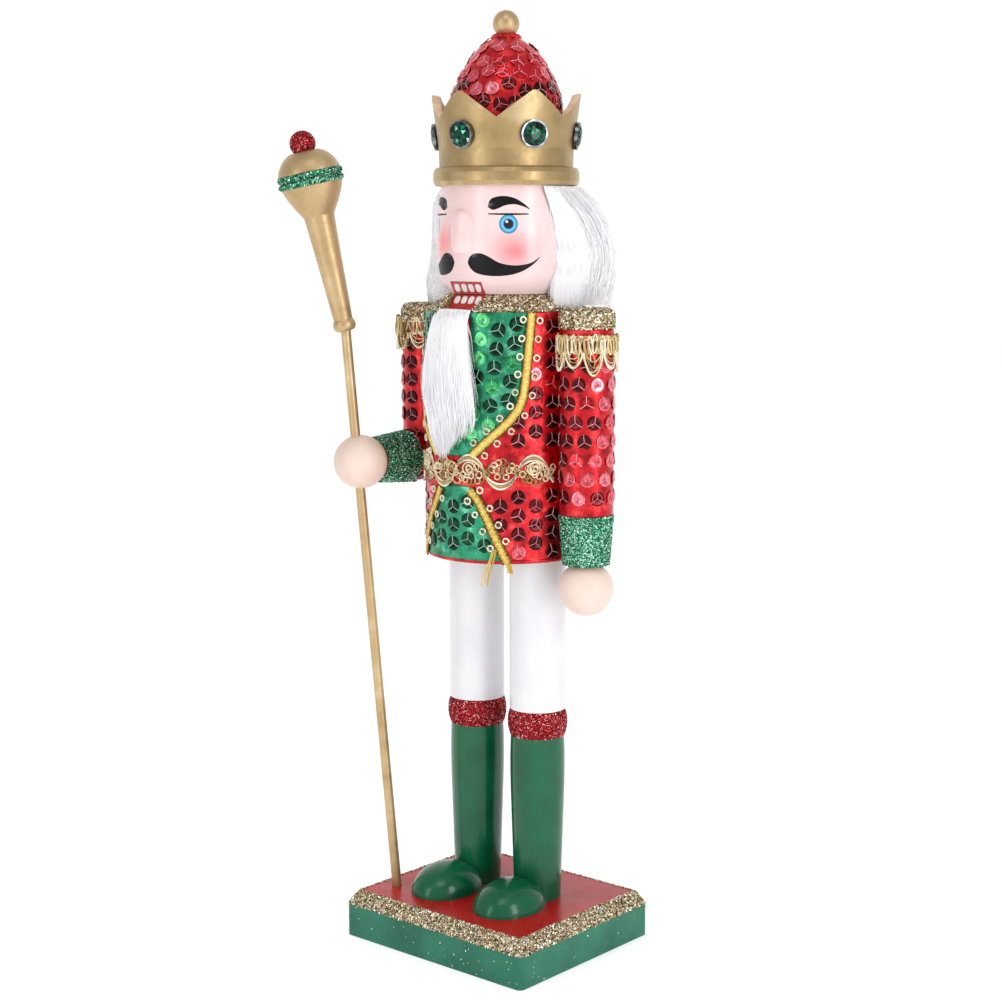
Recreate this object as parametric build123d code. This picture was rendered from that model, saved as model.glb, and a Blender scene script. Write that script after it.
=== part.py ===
from build123d import *

import math
import os

# Nutcracker king, millimetres. +Z is up, the figure faces -Y and +X is its left-hand side.
# The origin is the centre of the plinth's underside.

# Overall
HEIGHT = 381.0
FIGURE_Y = 6.7          # the figure's upright axis stands this far behind the plinth's centre
GAP = 0.15              # between nested wooden and fabric pieces that are glued together
SWING_GAP = 0.3         # each side of the jaw lever in its slot

# Plinth
PLINTH_W, PLINTH_D = 96.5, 82.8
PLINTH_SIDE_H, PLINTH_TOP = 13.5, 19.1
PLINTH_INSET, PLINTH_CORNER_R = 4.0, 2.5
GLITTER_T = 0.5

# Legs
LEG_X, LEG_R = 16.6, 11.5
BOOT_TOP, BAND_TOP = 88.4, 99.7
BAND_R, BAND_BULGE_R = 11.0, 12.1
TENON_R, TENON_BOTTOM = 8.0, 78.0
TOE_X, TOE_Y = 17.2, -12.0
TOE_A, TOE_B, TOE_H = 13.5, 17.0, 11.8
SCREW_R, SCREW_HEAD_R = 1.75, 3.6
DOWEL_R = 4.0

# Torso
HEM, SHOULDER, NECK = 163.0, 262.7, 269.0
TUNIC_R, NECK_R, FABRIC_T = 33.0, 23.1, 0.7
BLOCK_BOTTOM = 164.5
BELT_BOTTOM, BELT_TOP, BELT_R = 192.9, 206.7, 34.6
NECK_BOSS_R = 22.2
NECK_DOWEL_X = 15.5
BRAID_R, BRAID_W = 34.1, 3.4

# Jaw
JAW_W = 16.3
PIVOT_Y, PIVOT_Z, PIN_R = 4.0, 252.0, 2.0
PIN_HALF = 28.0

# Head and crown
HEAD_BOTTOM, HEAD_R = 269.3, 27.7
CROWN_BOTTOM, CROWN_FLOOR, CROWN_TIP, CROWN_VALLEY = 311.9, 322.0, 348.0, 337.7
CROWN_POINTS, CROWN_TWIST, NOTCH_HALF_W = 6, 3.0, 15.5
GEM_Z, GEM_R, BEZEL_R = 331.5, 4.8, 5.5
GEM_LEAN, GEM_WALL_R = 7.4, 27.95
FINIAL_R = 5.33
CAP_FOOT, CAP_TOP = 322.1, 370.6
CAP_COVER_T = 0.8
NOSE_RADII, NOSE_Y, NOSE_Z = (4.3, 3.4, 8.6), -19.6, 292.8
HAIR_ARC = 188.0

# Arms
ARM_X, ARM_R, SLEEVE_R = 43.9, 9.9, 10.7
LEFT_ARM_Y, RIGHT_ARM_Y = 4.0, 6.7
ARM_TOP, PAD_BOTTOM = 264.0, 256.4
FRINGE_BOTTOM, FRINGE_TOP, FRINGE_R = 239.6, 253.9, 12.2
CUFF_TOP, CUFF_BOTTOM, CUFF_R, WRIST_R = 182.7, 163.0, 10.8, 9.3
CUFF_BORE, RIGHT_CUFF_LENGTH = 8.0, 17.2
HAND_R, LEFT_HAND_Z = 11.0, 153.0
FOREARM_Z, RIGHT_CUFF_BACK, RIGHT_HAND_Y = 200.5, -8.0, -34.1

# Staff
STAFF_FOOT = (-36.4, -22.8)
STAFF_AT_HAND = (-44.6, -34.9)
ROD_R, ROD_BORE_R, SOCKET_DEPTH = 2.0, 2.08, 4.6
COLLAR_UP = 235.7       # along the rod from the plinth's top to the mace's lower end
MACE_AXIS = (-0.146, -0.155, 0.977)
ROD_IN_MACE = 12.0
MACE_BANDS, MACE_BAND_H = (59.6, 62.3), 2.5     # each band's lower edge along the mace
MACE_BAND_R, MACE_BAND_BORE = 13.1, 12.2
BALL_UP, BALL_R = 76.3, 5.0

BASE = (Align.CENTER, Align.CENTER, Align.MIN)
CENTRED = (Align.CENTER,) * 3


def at(x, y, z, shape):
    return Pos(x, y, z) * shape


def rod_between(start, end, radius):
    """A round rod from one point to another."""
    a, b = Vector(*start), Vector(*end)
    plane = Plane(origin=a, z_dir=b - a)
    return extrude(plane * Circle(radius), (b - a).length)


def turned(points, x=0.0, y=FIGURE_Y):
    """A lathe turning about an upright axis from (radius, height) points."""
    face = make_face(Polyline(*[(r, 0, z) for r, z in points], close=True))
    return at(x, y, 0, revolve(face, Axis.Z))


def turned_smooth(bottom, curve, top, x=0.0, y=FIGURE_Y):
    """A turning whose side is a spline through (radius, height) points."""
    side = Spline(*[(r, 0, z) for r, z in curve])
    first, last = curve[0], curve[-1]
    foot = Line((0, 0, bottom), (first[0], 0, first[1]))
    head = Line((last[0], 0, last[1]), (0, 0, top))
    face = make_face([foot, side, head, Line((0, 0, top), (0, 0, bottom))])
    return at(x, y, 0, revolve(face, Axis.Z))


def shell(outer, inner, bottom, top, x=0.0, y=FIGURE_Y):
    """An upright tube."""
    tube = extrude(Plane.XY.offset(bottom) * (Circle(outer) - Circle(inner)), top - bottom)
    return at(x, y, 0, tube)


def front_prism(points, closed=True):
    """A prism through the front half of the figure from (x, z) points."""
    face = Plane.XZ * make_face(Polyline(*points, close=closed))
    return at(0, FIGURE_Y - 2, 0, extrude(face, 60))


def side_prism(points, width):
    """A prism centred on the middle plane from (y, z) points."""
    face = make_face(Polyline(*[(0, y, z) for y, z in points], close=True))
    return extrude(face, width / 2, dir=(1, 0, 0), both=True)


def staff_axis():
    foot = Vector(*STAFF_FOOT, PLINTH_TOP)
    hand = Vector(*STAFF_AT_HAND, FOREARM_Z)
    return foot, (hand - foot).normalized()


def mace_origin():
    foot, up = staff_axis()
    return foot + up * COLLAR_UP


# Plinth and legs

def plinth_solid(side_inset):
    """The board's outline: straight sides, then a chamfer up to the top."""
    w, d = PLINTH_W, PLINTH_D
    corner = PLINTH_CORNER_R
    side = extrude(RectangleRounded(w, d, corner), PLINTH_SIDE_H)
    slope = math.degrees(math.atan(PLINTH_INSET / (PLINTH_TOP - PLINTH_SIDE_H)))
    base = RectangleRounded(w - 2 * side_inset, d - 2 * side_inset, corner)
    top = extrude(Plane.XY.offset(PLINTH_SIDE_H) * base, PLINTH_TOP - PLINTH_SIDE_H, taper=slope)
    return side, top


def plinth_board():
    side, top = plinth_solid(GLITTER_T)
    foot, up = staff_axis()
    socket = rod_between(foot - up * SOCKET_DEPTH, foot + up * 3, ROD_BORE_R)
    board = side + top - socket
    for x in (-LEG_X, LEG_X):
        board -= at(x, FIGURE_Y, 0, Cylinder(SCREW_HEAD_R + 0.4, 4.5, align=BASE))
        board -= at(x, FIGURE_Y, 0, Cylinder(SCREW_R + 0.05, PLINTH_TOP, align=BASE))
    return board


def plinth_glitter_band():
    outer = plinth_solid(0)[1]
    inner = plinth_solid(GLITTER_T)[1]
    return outer - inner


def base_screw(x):
    head = at(x, FIGURE_Y, 1.9, Cone(SCREW_HEAD_R, SCREW_R, 2.6, align=BASE))
    shank = at(x, FIGURE_Y, 4.5, Cylinder(SCREW_R, 30, align=BASE))
    slot = at(x, FIGURE_Y, 1.9, Box(5.0, 0.9, 1.6))
    return head + shank - slot


def boot(side):
    x = side * LEG_X
    curve = [(9.7, PLINTH_TOP), (10.2, 36), (10.9, 58), (11.3, 76), (11.0, BOOT_TOP)]
    body = turned_smooth(PLINTH_TOP, curve, BOOT_TOP, x)
    tenon_hole = at(x, FIGURE_Y, TENON_BOTTOM - 0.5, Cylinder(TENON_R + GAP, 20, align=BASE))
    screw_hole = at(x, FIGURE_Y, 0, Cylinder(SCREW_R + 0.05, 36, align=BASE))
    return body - tenon_hole - screw_hole


def toe_cap(side):
    """Half a turned egg, cut away where it meets the boot."""
    egg = scale(Sphere(1), (TOE_A, TOE_B, TOE_H))
    above = at(0, 0, 25, Box(80, 80, 50))
    cap = at(side * TOE_X, TOE_Y, PLINTH_TOP, egg & above)
    boot_room = at(side * LEG_X, FIGURE_Y, PLINTH_TOP - 1, Cone(9.9, 10.5, 20, align=BASE))
    behind = at(side * LEG_X, FIGURE_Y + 15, PLINTH_TOP, Box(60, 30, 50))
    return cap - boot_room - behind


def boot_band(side):
    x = side * LEG_X
    middle = (BOOT_TOP + BAND_TOP) / 2
    bore = TENON_R + GAP
    side_curve = Spline((BAND_R, 0, BOOT_TOP), (BAND_BULGE_R, 0, middle + 0.5), (BAND_R, 0, BAND_TOP))
    ends = [
        Line((BAND_R, 0, BAND_TOP), (bore, 0, BAND_TOP)),
        Line((bore, 0, BAND_TOP), (bore, 0, BOOT_TOP)),
        Line((bore, 0, BOOT_TOP), (BAND_R, 0, BOOT_TOP)),
    ]
    return at(x, FIGURE_Y, 0, revolve(make_face([side_curve] + ends), Axis.Z))


def trouser_leg(side):
    x = side * LEG_X
    leg = at(x, FIGURE_Y, BAND_TOP, Cylinder(LEG_R, BLOCK_BOTTOM - BAND_TOP, align=BASE))
    tenon = at(x, FIGURE_Y, TENON_BOTTOM, Cylinder(TENON_R, BAND_TOP - TENON_BOTTOM, align=BASE))
    hole = at(x, FIGURE_Y, BLOCK_BOTTOM - 12, Cylinder(DOWEL_R + 0.05, 20, align=BASE))
    return leg + tenon - hole


def leg_dowel(side):
    return at(side * LEG_X, FIGURE_Y, BLOCK_BOTTOM - 11.5, Cylinder(DOWEL_R, 23, align=BASE))


# Torso and tunic

def jaw_slot():
    """The room that the lever sweeps, open at the front, the back and the neck."""
    outline = [
        (-45, 226.5), (-12, 226.8), (2, 235.3), (37, 209.5), (60, 192.0), (60, 275), (-45, 275),
    ]
    return side_prism(outline, JAW_W + 2 * SWING_GAP)


def neck_cone(outer, drop):
    """The sloping shoulder of a given outer radius, lowered by a coat's thickness."""
    slope = (outer - NECK_R) / (NECK - SHOULDER)
    foot, neck = SHOULDER - drop, NECK - drop
    return [(outer, foot), (outer - slope * (neck - foot), neck), (0, neck)]


def shoulder_dowel_ends(side):
    y = RIGHT_ARM_Y if side < 0 else LEFT_ARM_Y
    return (side * 26, y, 232), (side * (ARM_X - 4), y, 232)


def torso_block():
    radius = TUNIC_R - FABRIC_T - GAP
    block = turned([(0, BLOCK_BOTTOM), (radius, BLOCK_BOTTOM)] + neck_cone(radius, 0.8))
    block += at(0, FIGURE_Y, NECK - 2, Cylinder(NECK_BOSS_R, 2.2, align=BASE))
    block -= jaw_slot()
    pin_room = rod_between((-PIN_HALF, PIVOT_Y, PIVOT_Z), (PIN_HALF, PIVOT_Y, PIVOT_Z), PIN_R + 0.03)
    block -= pin_room
    for side in (-1, 1):
        block -= at(side * LEG_X, FIGURE_Y, BLOCK_BOTTOM - 1, Cylinder(DOWEL_R + 0.05, 13, align=BASE))
        block -= rod_between(*shoulder_dowel_ends(side), 3.05)
        block -= at(side * NECK_DOWEL_X, FIGURE_Y, NECK - 12, Cylinder(3.05, 20, align=BASE))
    return block


def bib_region():
    """The front opening of the coat: straight sides that curve in to the waist."""
    right = [(28.0, 262.0), (27.0, 243.0), (26.0, 230.0), (24.2, 223.5), (20.4, 217.6)]
    right += [(14.8, 211.6), (9.0, BELT_TOP - 1)]
    left = [(-x, z) for x, z in reversed(right)]
    return right, left


def skirt_region():
    """The panel below the belt, widening to the hem."""
    right = [(7.5, BELT_BOTTOM + 1), (12.2, 187.4), (17.1, 175.7), (21.4, HEM - 1)]
    left = [(-6.0, BELT_BOTTOM + 1), (-10.3, 185.4), (-14.9, 178.0), (-19.7, HEM - 1)]
    return right, left[::-1]


def coat_cutters():
    bib_right, bib_left = bib_region()
    bib = front_prism([(28.0, 280.0)] + bib_right + bib_left + [(-28.0, 280.0)])
    skirt_right, skirt_left = skirt_region()
    skirt = front_prism(skirt_right + skirt_left)
    return bib, skirt


def coat_shell():
    return shell(TUNIC_R, TUNIC_R - FABRIC_T, HEM, SHOULDER - 0.1)


def tunic_red(bib, skirt):
    coat = coat_shell() - bib - skirt - jaw_slot()
    for side in (-1, 1):
        coat -= rod_between(*shoulder_dowel_ends(side), 3.05)
    return coat


def bib_green(bib):
    return (coat_shell() & bib) - jaw_slot()


def skirt_panel_green(skirt):
    return coat_shell() & skirt


def braid(points):
    """A flat braid laid on the coat along (x, z) points."""
    strip = Plane.XZ * trace(Polyline(*points), BRAID_W)
    cutter = at(0, FIGURE_Y - 2, 0, extrude(strip, 60))
    return cutter & shell(BRAID_R, TUNIC_R + GAP, HEM - 9, SHOULDER - 0.2)


def bib_braids():
    right, left = bib_region()
    above_belt = shell(60, 5, BELT_TOP + 0.1, SHOULDER)
    return (braid(right) + braid(left)) & above_belt


def skirt_braids():
    right, left = skirt_region()
    below_belt = shell(60, 5, HEM - 20, BELT_BOTTOM - 0.1)
    return (braid(right + [(22.4, HEM - 4)]) + braid(left)) & below_belt


def waist_gimp_belt():
    """Gimp round the waist, left open where the arms lie against the coat."""
    belt = shell(BELT_R, TUNIC_R + GAP, BELT_BOTTOM, BELT_TOP)
    room = SLEEVE_R + SWING_GAP
    for side, y in ((1, LEFT_ARM_Y), (-1, RIGHT_ARM_Y)):
        belt -= at(side * ARM_X, y, BELT_BOTTOM - 5, Cylinder(room, 30, align=BASE))
    elbow = (-ARM_X, RIGHT_ARM_Y, FOREARM_Z)
    return belt - rod_between(elbow, (-ARM_X, RIGHT_HAND_Y, FOREARM_Z), room)


def shoulder_glitter():
    """The glittered coat of the sloping shoulders, cut away over the slot."""
    outer = turned([(0, SHOULDER)] + neck_cone(TUNIC_R, 0))
    inner = turned([(0, SHOULDER - 1)] + neck_cone(TUNIC_R - FABRIC_T, 0.7))
    neck = at(0, FIGURE_Y, NECK - 3, Cylinder(NECK_BOSS_R + GAP, 6, align=BASE))
    return outer - inner - neck - jaw_slot()


# Jaw

def jaw_pivot_pin():
    return rod_between((-PIN_HALF, PIVOT_Y, PIVOT_Z), (PIN_HALF, PIVOT_Y, PIVOT_Z), PIN_R)


def jaw_lever():
    """Teeth block in front, a bent arm through the torso and a tail down the back."""
    outline = [
        (-15.5, 268.9), (3.0, 268.9), (40.0, 236.5), (49.0, 227.0), (52.0, 214.0), (52.5, 183.0),
        (44.5, 181.0), (43.6, 205.0), (36.0, 214.0), (2.0, 238.0), (-20.0, 236.0), (-27.3, 238.0),
        (-27.3, 261.9), (-19.0, 263.5),
    ]
    lever = side_prism(outline, JAW_W)
    tail_edges = lever.edges().filter_by(Axis.X).filter_by(lambda e: e.center().Y > 39.9)
    lever = fillet(tail_edges, 3.0)
    hole = rod_between((-20, PIVOT_Y, PIVOT_Z), (20, PIVOT_Y, PIVOT_Z), PIN_R + 0.06)
    return lever - hole


def beard():
    """The space the hanging fur fills, clear of the coat's trims and the teeth block."""
    levels = [(263.3, 0.6, 8.2, 3.0), (250, 0.8, 12.0, 5.5), (233, 1.0, 13.6, 6.0)]
    levels += [(218, 0.8, 11.0, 4.6), (202, -0.5, 4.5, 2.2)]
    faces = []
    for z, x, half_width, half_depth in levels:
        faces.append(at(x, -30.0, z, Ellipse(half_width, half_depth)))
    body = loft(faces)
    body -= shell(35.0, 5, 190, 280)
    return body - at(0, -17.5, 250, Box(JAW_W + 0.6, 20, 40))


# Head, crown and cap

def head_block():
    curve = [(23.3, HEAD_BOTTOM), (26.1, 274), (27.4, 280), (HEAD_R, 291), (27.3, 302)]
    curve += [(26.3, CROWN_BOTTOM)]
    head = turned_smooth(HEAD_BOTTOM, curve, CROWN_BOTTOM)
    mouth = [(-30, 274.6), (-17.2, 274.2), (-15.4, 269.3), (-15.4, 268), (-30, 268)]
    head -= side_prism(mouth, JAW_W + 0.4)
    head -= at(0, FIGURE_Y, CROWN_BOTTOM - 10, Cylinder(DOWEL_R + 0.05, 20, align=BASE))
    for x in (-NECK_DOWEL_X, NECK_DOWEL_X):
        head -= at(x, FIGURE_Y, HEAD_BOTTOM - 1, Cylinder(3.05, 11, align=BASE))
    return head


def nose():
    """Part of a wooden egg glued to the front of the face."""
    egg = at(0, NOSE_Y, NOSE_Z, scale(Sphere(1), NOSE_RADII))
    low, high, radius = NOSE_Z - 12, NOSE_Z + 12, HEAD_R + 0.05
    return egg - turned([(0, low), (radius, low), (radius, high), (0, high)])


def neck_dowel(x):
    return at(x, FIGURE_Y, NECK - 11.5, Cylinder(3.0, 21, align=BASE))


def crown_dowel():
    return at(0, FIGURE_Y, CROWN_BOTTOM - 9.5, Cylinder(DOWEL_R, 19, align=BASE))


def hair():
    """The fur that covers the sides and back of the head, open over the face."""
    inner = [(26.9, 311.4), (27.9, 303), (28.1, 291), (27.9, 280), (27.0, 274), (25.0, 270.2)]
    outer = [(34.0, 266.6), (42.4, 266.6), (43.8, 276), (43.6, 284), (42.2, 291), (39.6, 298.5)]
    outer += [(35.2, 306.3), (29.5, 311.4)]
    face = make_face(Polyline(*[(r, 0, z) for r, z in inner + outer], close=True))
    fur = revolve(face, Axis.Z, revolution_arc=HAIR_ARC)
    return at(0, FIGURE_Y, 0, Rot(0, 0, 90 - HAIR_ARC / 2) * fur)


def crown_point_angles():
    return [CROWN_TWIST + i * 360 / CROWN_POINTS for i in range(CROWN_POINTS)]


def crown_ring():
    """A turned cup with a beaded foot, its rim sawn into points."""
    side = [(0, CROWN_BOTTOM), (28.6, CROWN_BOTTOM), (29.4, 313.6), (29.4, 317.0)]
    side += [(28.7, 318.7), (26.9, 319.3), (27.1, 326.0), (28.4, 336.0), (30.0, CROWN_TIP), (26.6, CROWN_TIP), (24.2, CROWN_FLOOR)]
    side += [(0, CROWN_FLOOR)]
    ring = turned(side)
    ring -= at(0, FIGURE_Y, CROWN_BOTTOM - 1, Cylinder(DOWEL_R + 0.05, 11, align=BASE))
    half = NOTCH_HALF_W
    notch = make_face(Polyline(
        (0, -half, CROWN_TIP + 1), (0, 0, CROWN_VALLEY), (0, half, CROWN_TIP + 1), close=True))
    cutter = extrude(notch, 40, dir=(1, 0, 0))
    for angle in crown_point_angles():
        ring -= at(0, FIGURE_Y, 0, Rot(0, 0, angle + 30 - 90) * cutter)
    return ring


def on_crown(shape, angle):
    """Puts a shape whose axis is +Z flat on the crown's wall at an angle from the front."""
    placed = Pos(GEM_WALL_R, 0, GEM_Z) * Rot(0, 90 + GEM_LEAN, 0) * shape
    return at(0, FIGURE_Y, 0, Rot(0, 0, angle - 90) * placed)


def gem_bezels():
    cup = Cylinder(BEZEL_R, 1.4, align=BASE) - at(0, 0, 0.5, Cylinder(GEM_R + 0.05, 2, align=BASE))
    return [on_crown(cup, angle) for angle in crown_point_angles()]


def crown_gems():
    """Stones with a flat table and eight-sided slopes."""
    foot = RegularPolygon(GEM_R, 16)
    stone = extrude(foot, 0.9) + extrude(Plane.XY.offset(0.9) * foot, 1.3, taper=58)
    return [on_crown(at(0, 0, 0.55, stone), angle) for angle in crown_point_angles()]


def cap_profile(skin):
    """Radius and height points of the egg-shaped cap, shrunk by a skin's thickness."""
    points = [(22.6, CAP_FOOT), (23.3, 334), (22.9, 342), (21.6, 348.6), (19.0, 354.6)]
    points += [(15.5, 360.6), (11.1, 366.3), (6.0, CAP_TOP)]
    shrink = 1 - skin / (CAP_TOP - CAP_FOOT)
    return [(r - skin, CAP_FOOT + (z - CAP_FOOT) * shrink) for r, z in points]


def cap_turning(skin):
    points = cap_profile(skin)
    return turned_smooth(CAP_FOOT, points, points[-1][1])


def finial_hole():
    return at(0, FIGURE_Y, CAP_TOP - 9, Cylinder(1.55, 20, align=BASE))


def cap_core():
    return cap_turning(CAP_COVER_T + GAP) - finial_hole()


def cap_cover():
    return cap_turning(0) - cap_turning(CAP_COVER_T) - finial_hole()


def finial():
    ball = at(0, FIGURE_Y, HEIGHT - FINIAL_R, Sphere(FINIAL_R))
    ball &= at(0, FIGURE_Y, CAP_TOP + 10, Box(20, 20, 20))
    return ball + at(0, FIGURE_Y, CAP_TOP - 8, Cylinder(1.5, 12, align=BASE))


# Arms

def arm_pad(y, side):
    """The glittered cap on top of an arm, with a rounded rim."""
    pad = Cylinder(SLEEVE_R + 0.2, ARM_TOP - PAD_BOTTOM, align=BASE)
    pad = fillet(pad.edges().group_by(Axis.Z)[-1], 3.0)
    core = at(0, 0, -1, Cylinder(ARM_R + GAP, ARM_TOP - PAD_BOTTOM - 1, align=BASE))
    pad = at(side * ARM_X, y, PAD_BOTTOM, pad - core)
    return pad - coat_room()


def coat_room():
    """The tunic with a little room round it, for trims that would touch it."""
    return at(0, FIGURE_Y, HEM - 20, Cylinder(TUNIC_R + GAP, 130, align=BASE))


def upper_arm(side, y, bottom):
    arm = at(side * ARM_X, y, bottom, Cylinder(ARM_R, ARM_TOP - 2.2 - bottom, align=BASE))
    return arm - rod_between(*shoulder_dowel_ends(side), 3.05)


def arm_left():
    y = LEFT_ARM_Y
    arm = upper_arm(1, y, CUFF_TOP)
    length = CUFF_TOP - CUFF_BOTTOM - 1.3
    wrist = at(ARM_X, y, CUFF_TOP - length, Cylinder(CUFF_BORE - GAP, length, align=BASE))
    return arm + wrist - at(ARM_X, y, CUFF_BOTTOM - 1, Cylinder(2.05, 9, align=BASE))


def elbow_halves(radius):
    """Upright and level cylinders of one radius, mitred at the right elbow."""
    corner = (-ARM_X, RIGHT_ARM_Y, FOREARM_Z)
    upright = at(*corner, Cylinder(radius, 120, align=CENTRED))
    level = at(*corner, Rot(90, 0, 0) * Cylinder(radius, 120, align=CENTRED))
    mitre = Plane(origin=corner, z_dir=(0, 1, 1))
    above = extrude(mitre * Rectangle(150, 150), 90)
    below = extrude(mitre * Rectangle(150, 150), -90)
    return upright & above, level & below


def below_height(z):
    """A block round the right arm that keeps what lies below a height."""
    return Pos(-ARM_X, 0, z) * Box(60, 150, 150, align=(Align.CENTER, Align.CENTER, Align.MAX))


def behind_place(y):
    """A block round the right arm that keeps what lies behind a place along Y."""
    return Pos(-ARM_X, y, FOREARM_Z) * Box(60, 100, 120, align=(Align.CENTER, Align.MIN, Align.CENTER))


def arm_right():
    upright, _ = elbow_halves(ARM_R)
    arm = upright & below_height(ARM_TOP - 2.2)
    arm -= rod_between(*elbow_dowel_ends(), 2.05)
    return arm - rod_between(*shoulder_dowel_ends(-1), 3.05)


def elbow_dowel_ends():
    x, y, z = -ARM_X, RIGHT_ARM_Y, FOREARM_Z
    return (x, y + 4.5, z + 4.5), (x, y - 4.5, z - 4.5)


def forearm_right():
    _, level = elbow_halves(ARM_R)
    arm = level & behind_place(RIGHT_CUFF_BACK)
    front = RIGHT_HAND_Y + 11.3
    wrist = rod_between(
        (-ARM_X, RIGHT_CUFF_BACK, FOREARM_Z), (-ARM_X, front, FOREARM_Z), CUFF_BORE - GAP)
    arm = arm + wrist - rod_between(*elbow_dowel_ends(), 2.05)
    return arm - rod_between((-ARM_X, front - 1, FOREARM_Z), (-ARM_X, front + 7, FOREARM_Z), 2.05)


def sleeve_left():
    tube = shell(SLEEVE_R, ARM_R + GAP, CUFF_TOP, PAD_BOTTOM, ARM_X, LEFT_ARM_Y)
    return tube - rod_between(*shoulder_dowel_ends(1), 3.05)


def sleeve_right():
    outer = elbow_halves(SLEEVE_R)
    inner = elbow_halves(ARM_R + GAP)
    outside = (outer[0] & below_height(PAD_BOTTOM)) + (outer[1] & behind_place(RIGHT_CUFF_BACK))
    sleeve = outside - inner[0] - inner[1]
    return sleeve - rod_between(*shoulder_dowel_ends(-1), 3.05)


def cuff(start, along, length):
    """A tapered glittered cuff that starts wide at the sleeve."""
    plane = Plane(origin=start, z_dir=along)
    cone = Cone(CUFF_R, WRIST_R, length, align=BASE)
    bore = Cylinder(CUFF_BORE, length, align=BASE)
    return plane * (cone - bore)


def epaulette_fringe(side, y):
    """The gimp and its loops round the arm, left open where the arm lies against the coat."""
    ring = shell(FRINGE_R, SLEEVE_R + GAP, FRINGE_BOTTOM, FRINGE_TOP, side * ARM_X, y)
    return ring - coat_room()


def hand_left():
    ball = at(ARM_X, LEFT_ARM_Y, LEFT_HAND_Z, Sphere(HAND_R))
    return ball - at(ARM_X, LEFT_ARM_Y, LEFT_HAND_Z + 4, Cylinder(2.05, 20, align=BASE))


def hand_right():
    """A ball drilled through for the staff."""
    centre = (-ARM_X, RIGHT_HAND_Y, FOREARM_Z)
    foot, up = staff_axis()
    bore = rod_between(foot + up * 150, foot + up * 215, ROD_BORE_R)
    peg = rod_between((-ARM_X, RIGHT_HAND_Y + 4.5, FOREARM_Z), (-ARM_X, 0, FOREARM_Z), 2.05)
    return at(*centre, Sphere(HAND_R)) - bore - peg


def wrist_dowels():
    left = at(ARM_X, LEFT_ARM_Y, LEFT_HAND_Z + 4.3, Cylinder(2.0, 13, align=BASE))
    y = RIGHT_HAND_Y
    right = rod_between((-ARM_X, y + 4.8, FOREARM_Z), (-ARM_X, y + 17.8, FOREARM_Z), 2.0)
    return [left, right]


# Staff

def mace_plane():
    return Plane(origin=mace_origin(), z_dir=MACE_AXIS)


def mace_turning(points):
    """A turning about the mace's own axis from (radius, distance) points, smooth side."""
    side = Spline(*[(r, 0, z) for r, z in points])
    first, last = points[0], points[-1]
    face = make_face([
        Line((0, 0, first[1]), (first[0], 0, first[1])), side,
        Line((last[0], 0, last[1]), (0, 0, last[1])), Line((0, 0, last[1]), (0, 0, first[1]))])
    return revolve(face, Axis.Z)


def staff_rod():
    foot, up = staff_axis()
    return rod_between(foot - up * (SOCKET_DEPTH - 0.1), mace_origin() + up * ROD_IN_MACE, ROD_R)


def mace_head():
    """Collar, long tapered grip and bulb, turned as one piece."""
    collar = mace_turning([(3.2, 0), (4.5, 1.6), (4.5, 3.3), (3.9, 4.7)])
    grip = [(3.85, 4.7), (4.5, 17), (5.3, 33), (6.2, 47.2)]
    flare = [(6.2, 47.2), (7.9, 49.9), (10.2, 54), (11.9, 58.0)]
    bulb = [(11.9, 58.0), (12.6, 60.4), (12.9, 62.6), (12.5, 65.6), (10.6, 69.5), (6.0, 73.1)]
    turning = collar + mace_turning(grip) + mace_turning(flare) + mace_turning(bulb)
    seat = at(0, 0, BALL_UP, Sphere(BALL_R + 0.05))
    height = 2 * MACE_BAND_H + 0.4
    ring = Cylinder(20, height, align=BASE) - Cylinder(MACE_BAND_BORE - 0.05, height, align=BASE)
    groove = at(0, 0, MACE_BANDS[0] - 0.1, ring)
    foot, up = staff_axis()
    bore = rod_between(mace_origin() - up * 3, mace_origin() + up * (ROD_IN_MACE + 0.2), ROD_R + 0.02)
    return mace_plane() * (turning - seat - groove) - bore


def mace_glitter_bands():
    """Two glittered ridges side by side round the widest part."""
    rings = []
    for low in MACE_BANDS:
        ring = Cylinder(MACE_BAND_R, MACE_BAND_H, align=BASE)
        ring -= Cylinder(MACE_BAND_BORE, MACE_BAND_H, align=BASE)
        outer = ring.edges().filter_by(lambda e: e.length > 6.2 * MACE_BAND_R)
        rings.append(mace_plane() * at(0, 0, low, chamfer(outer, 0.8)))
    return rings


def mace_red_ball():
    return mace_plane() * at(0, 0, BALL_UP, Sphere(BALL_R))


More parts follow.
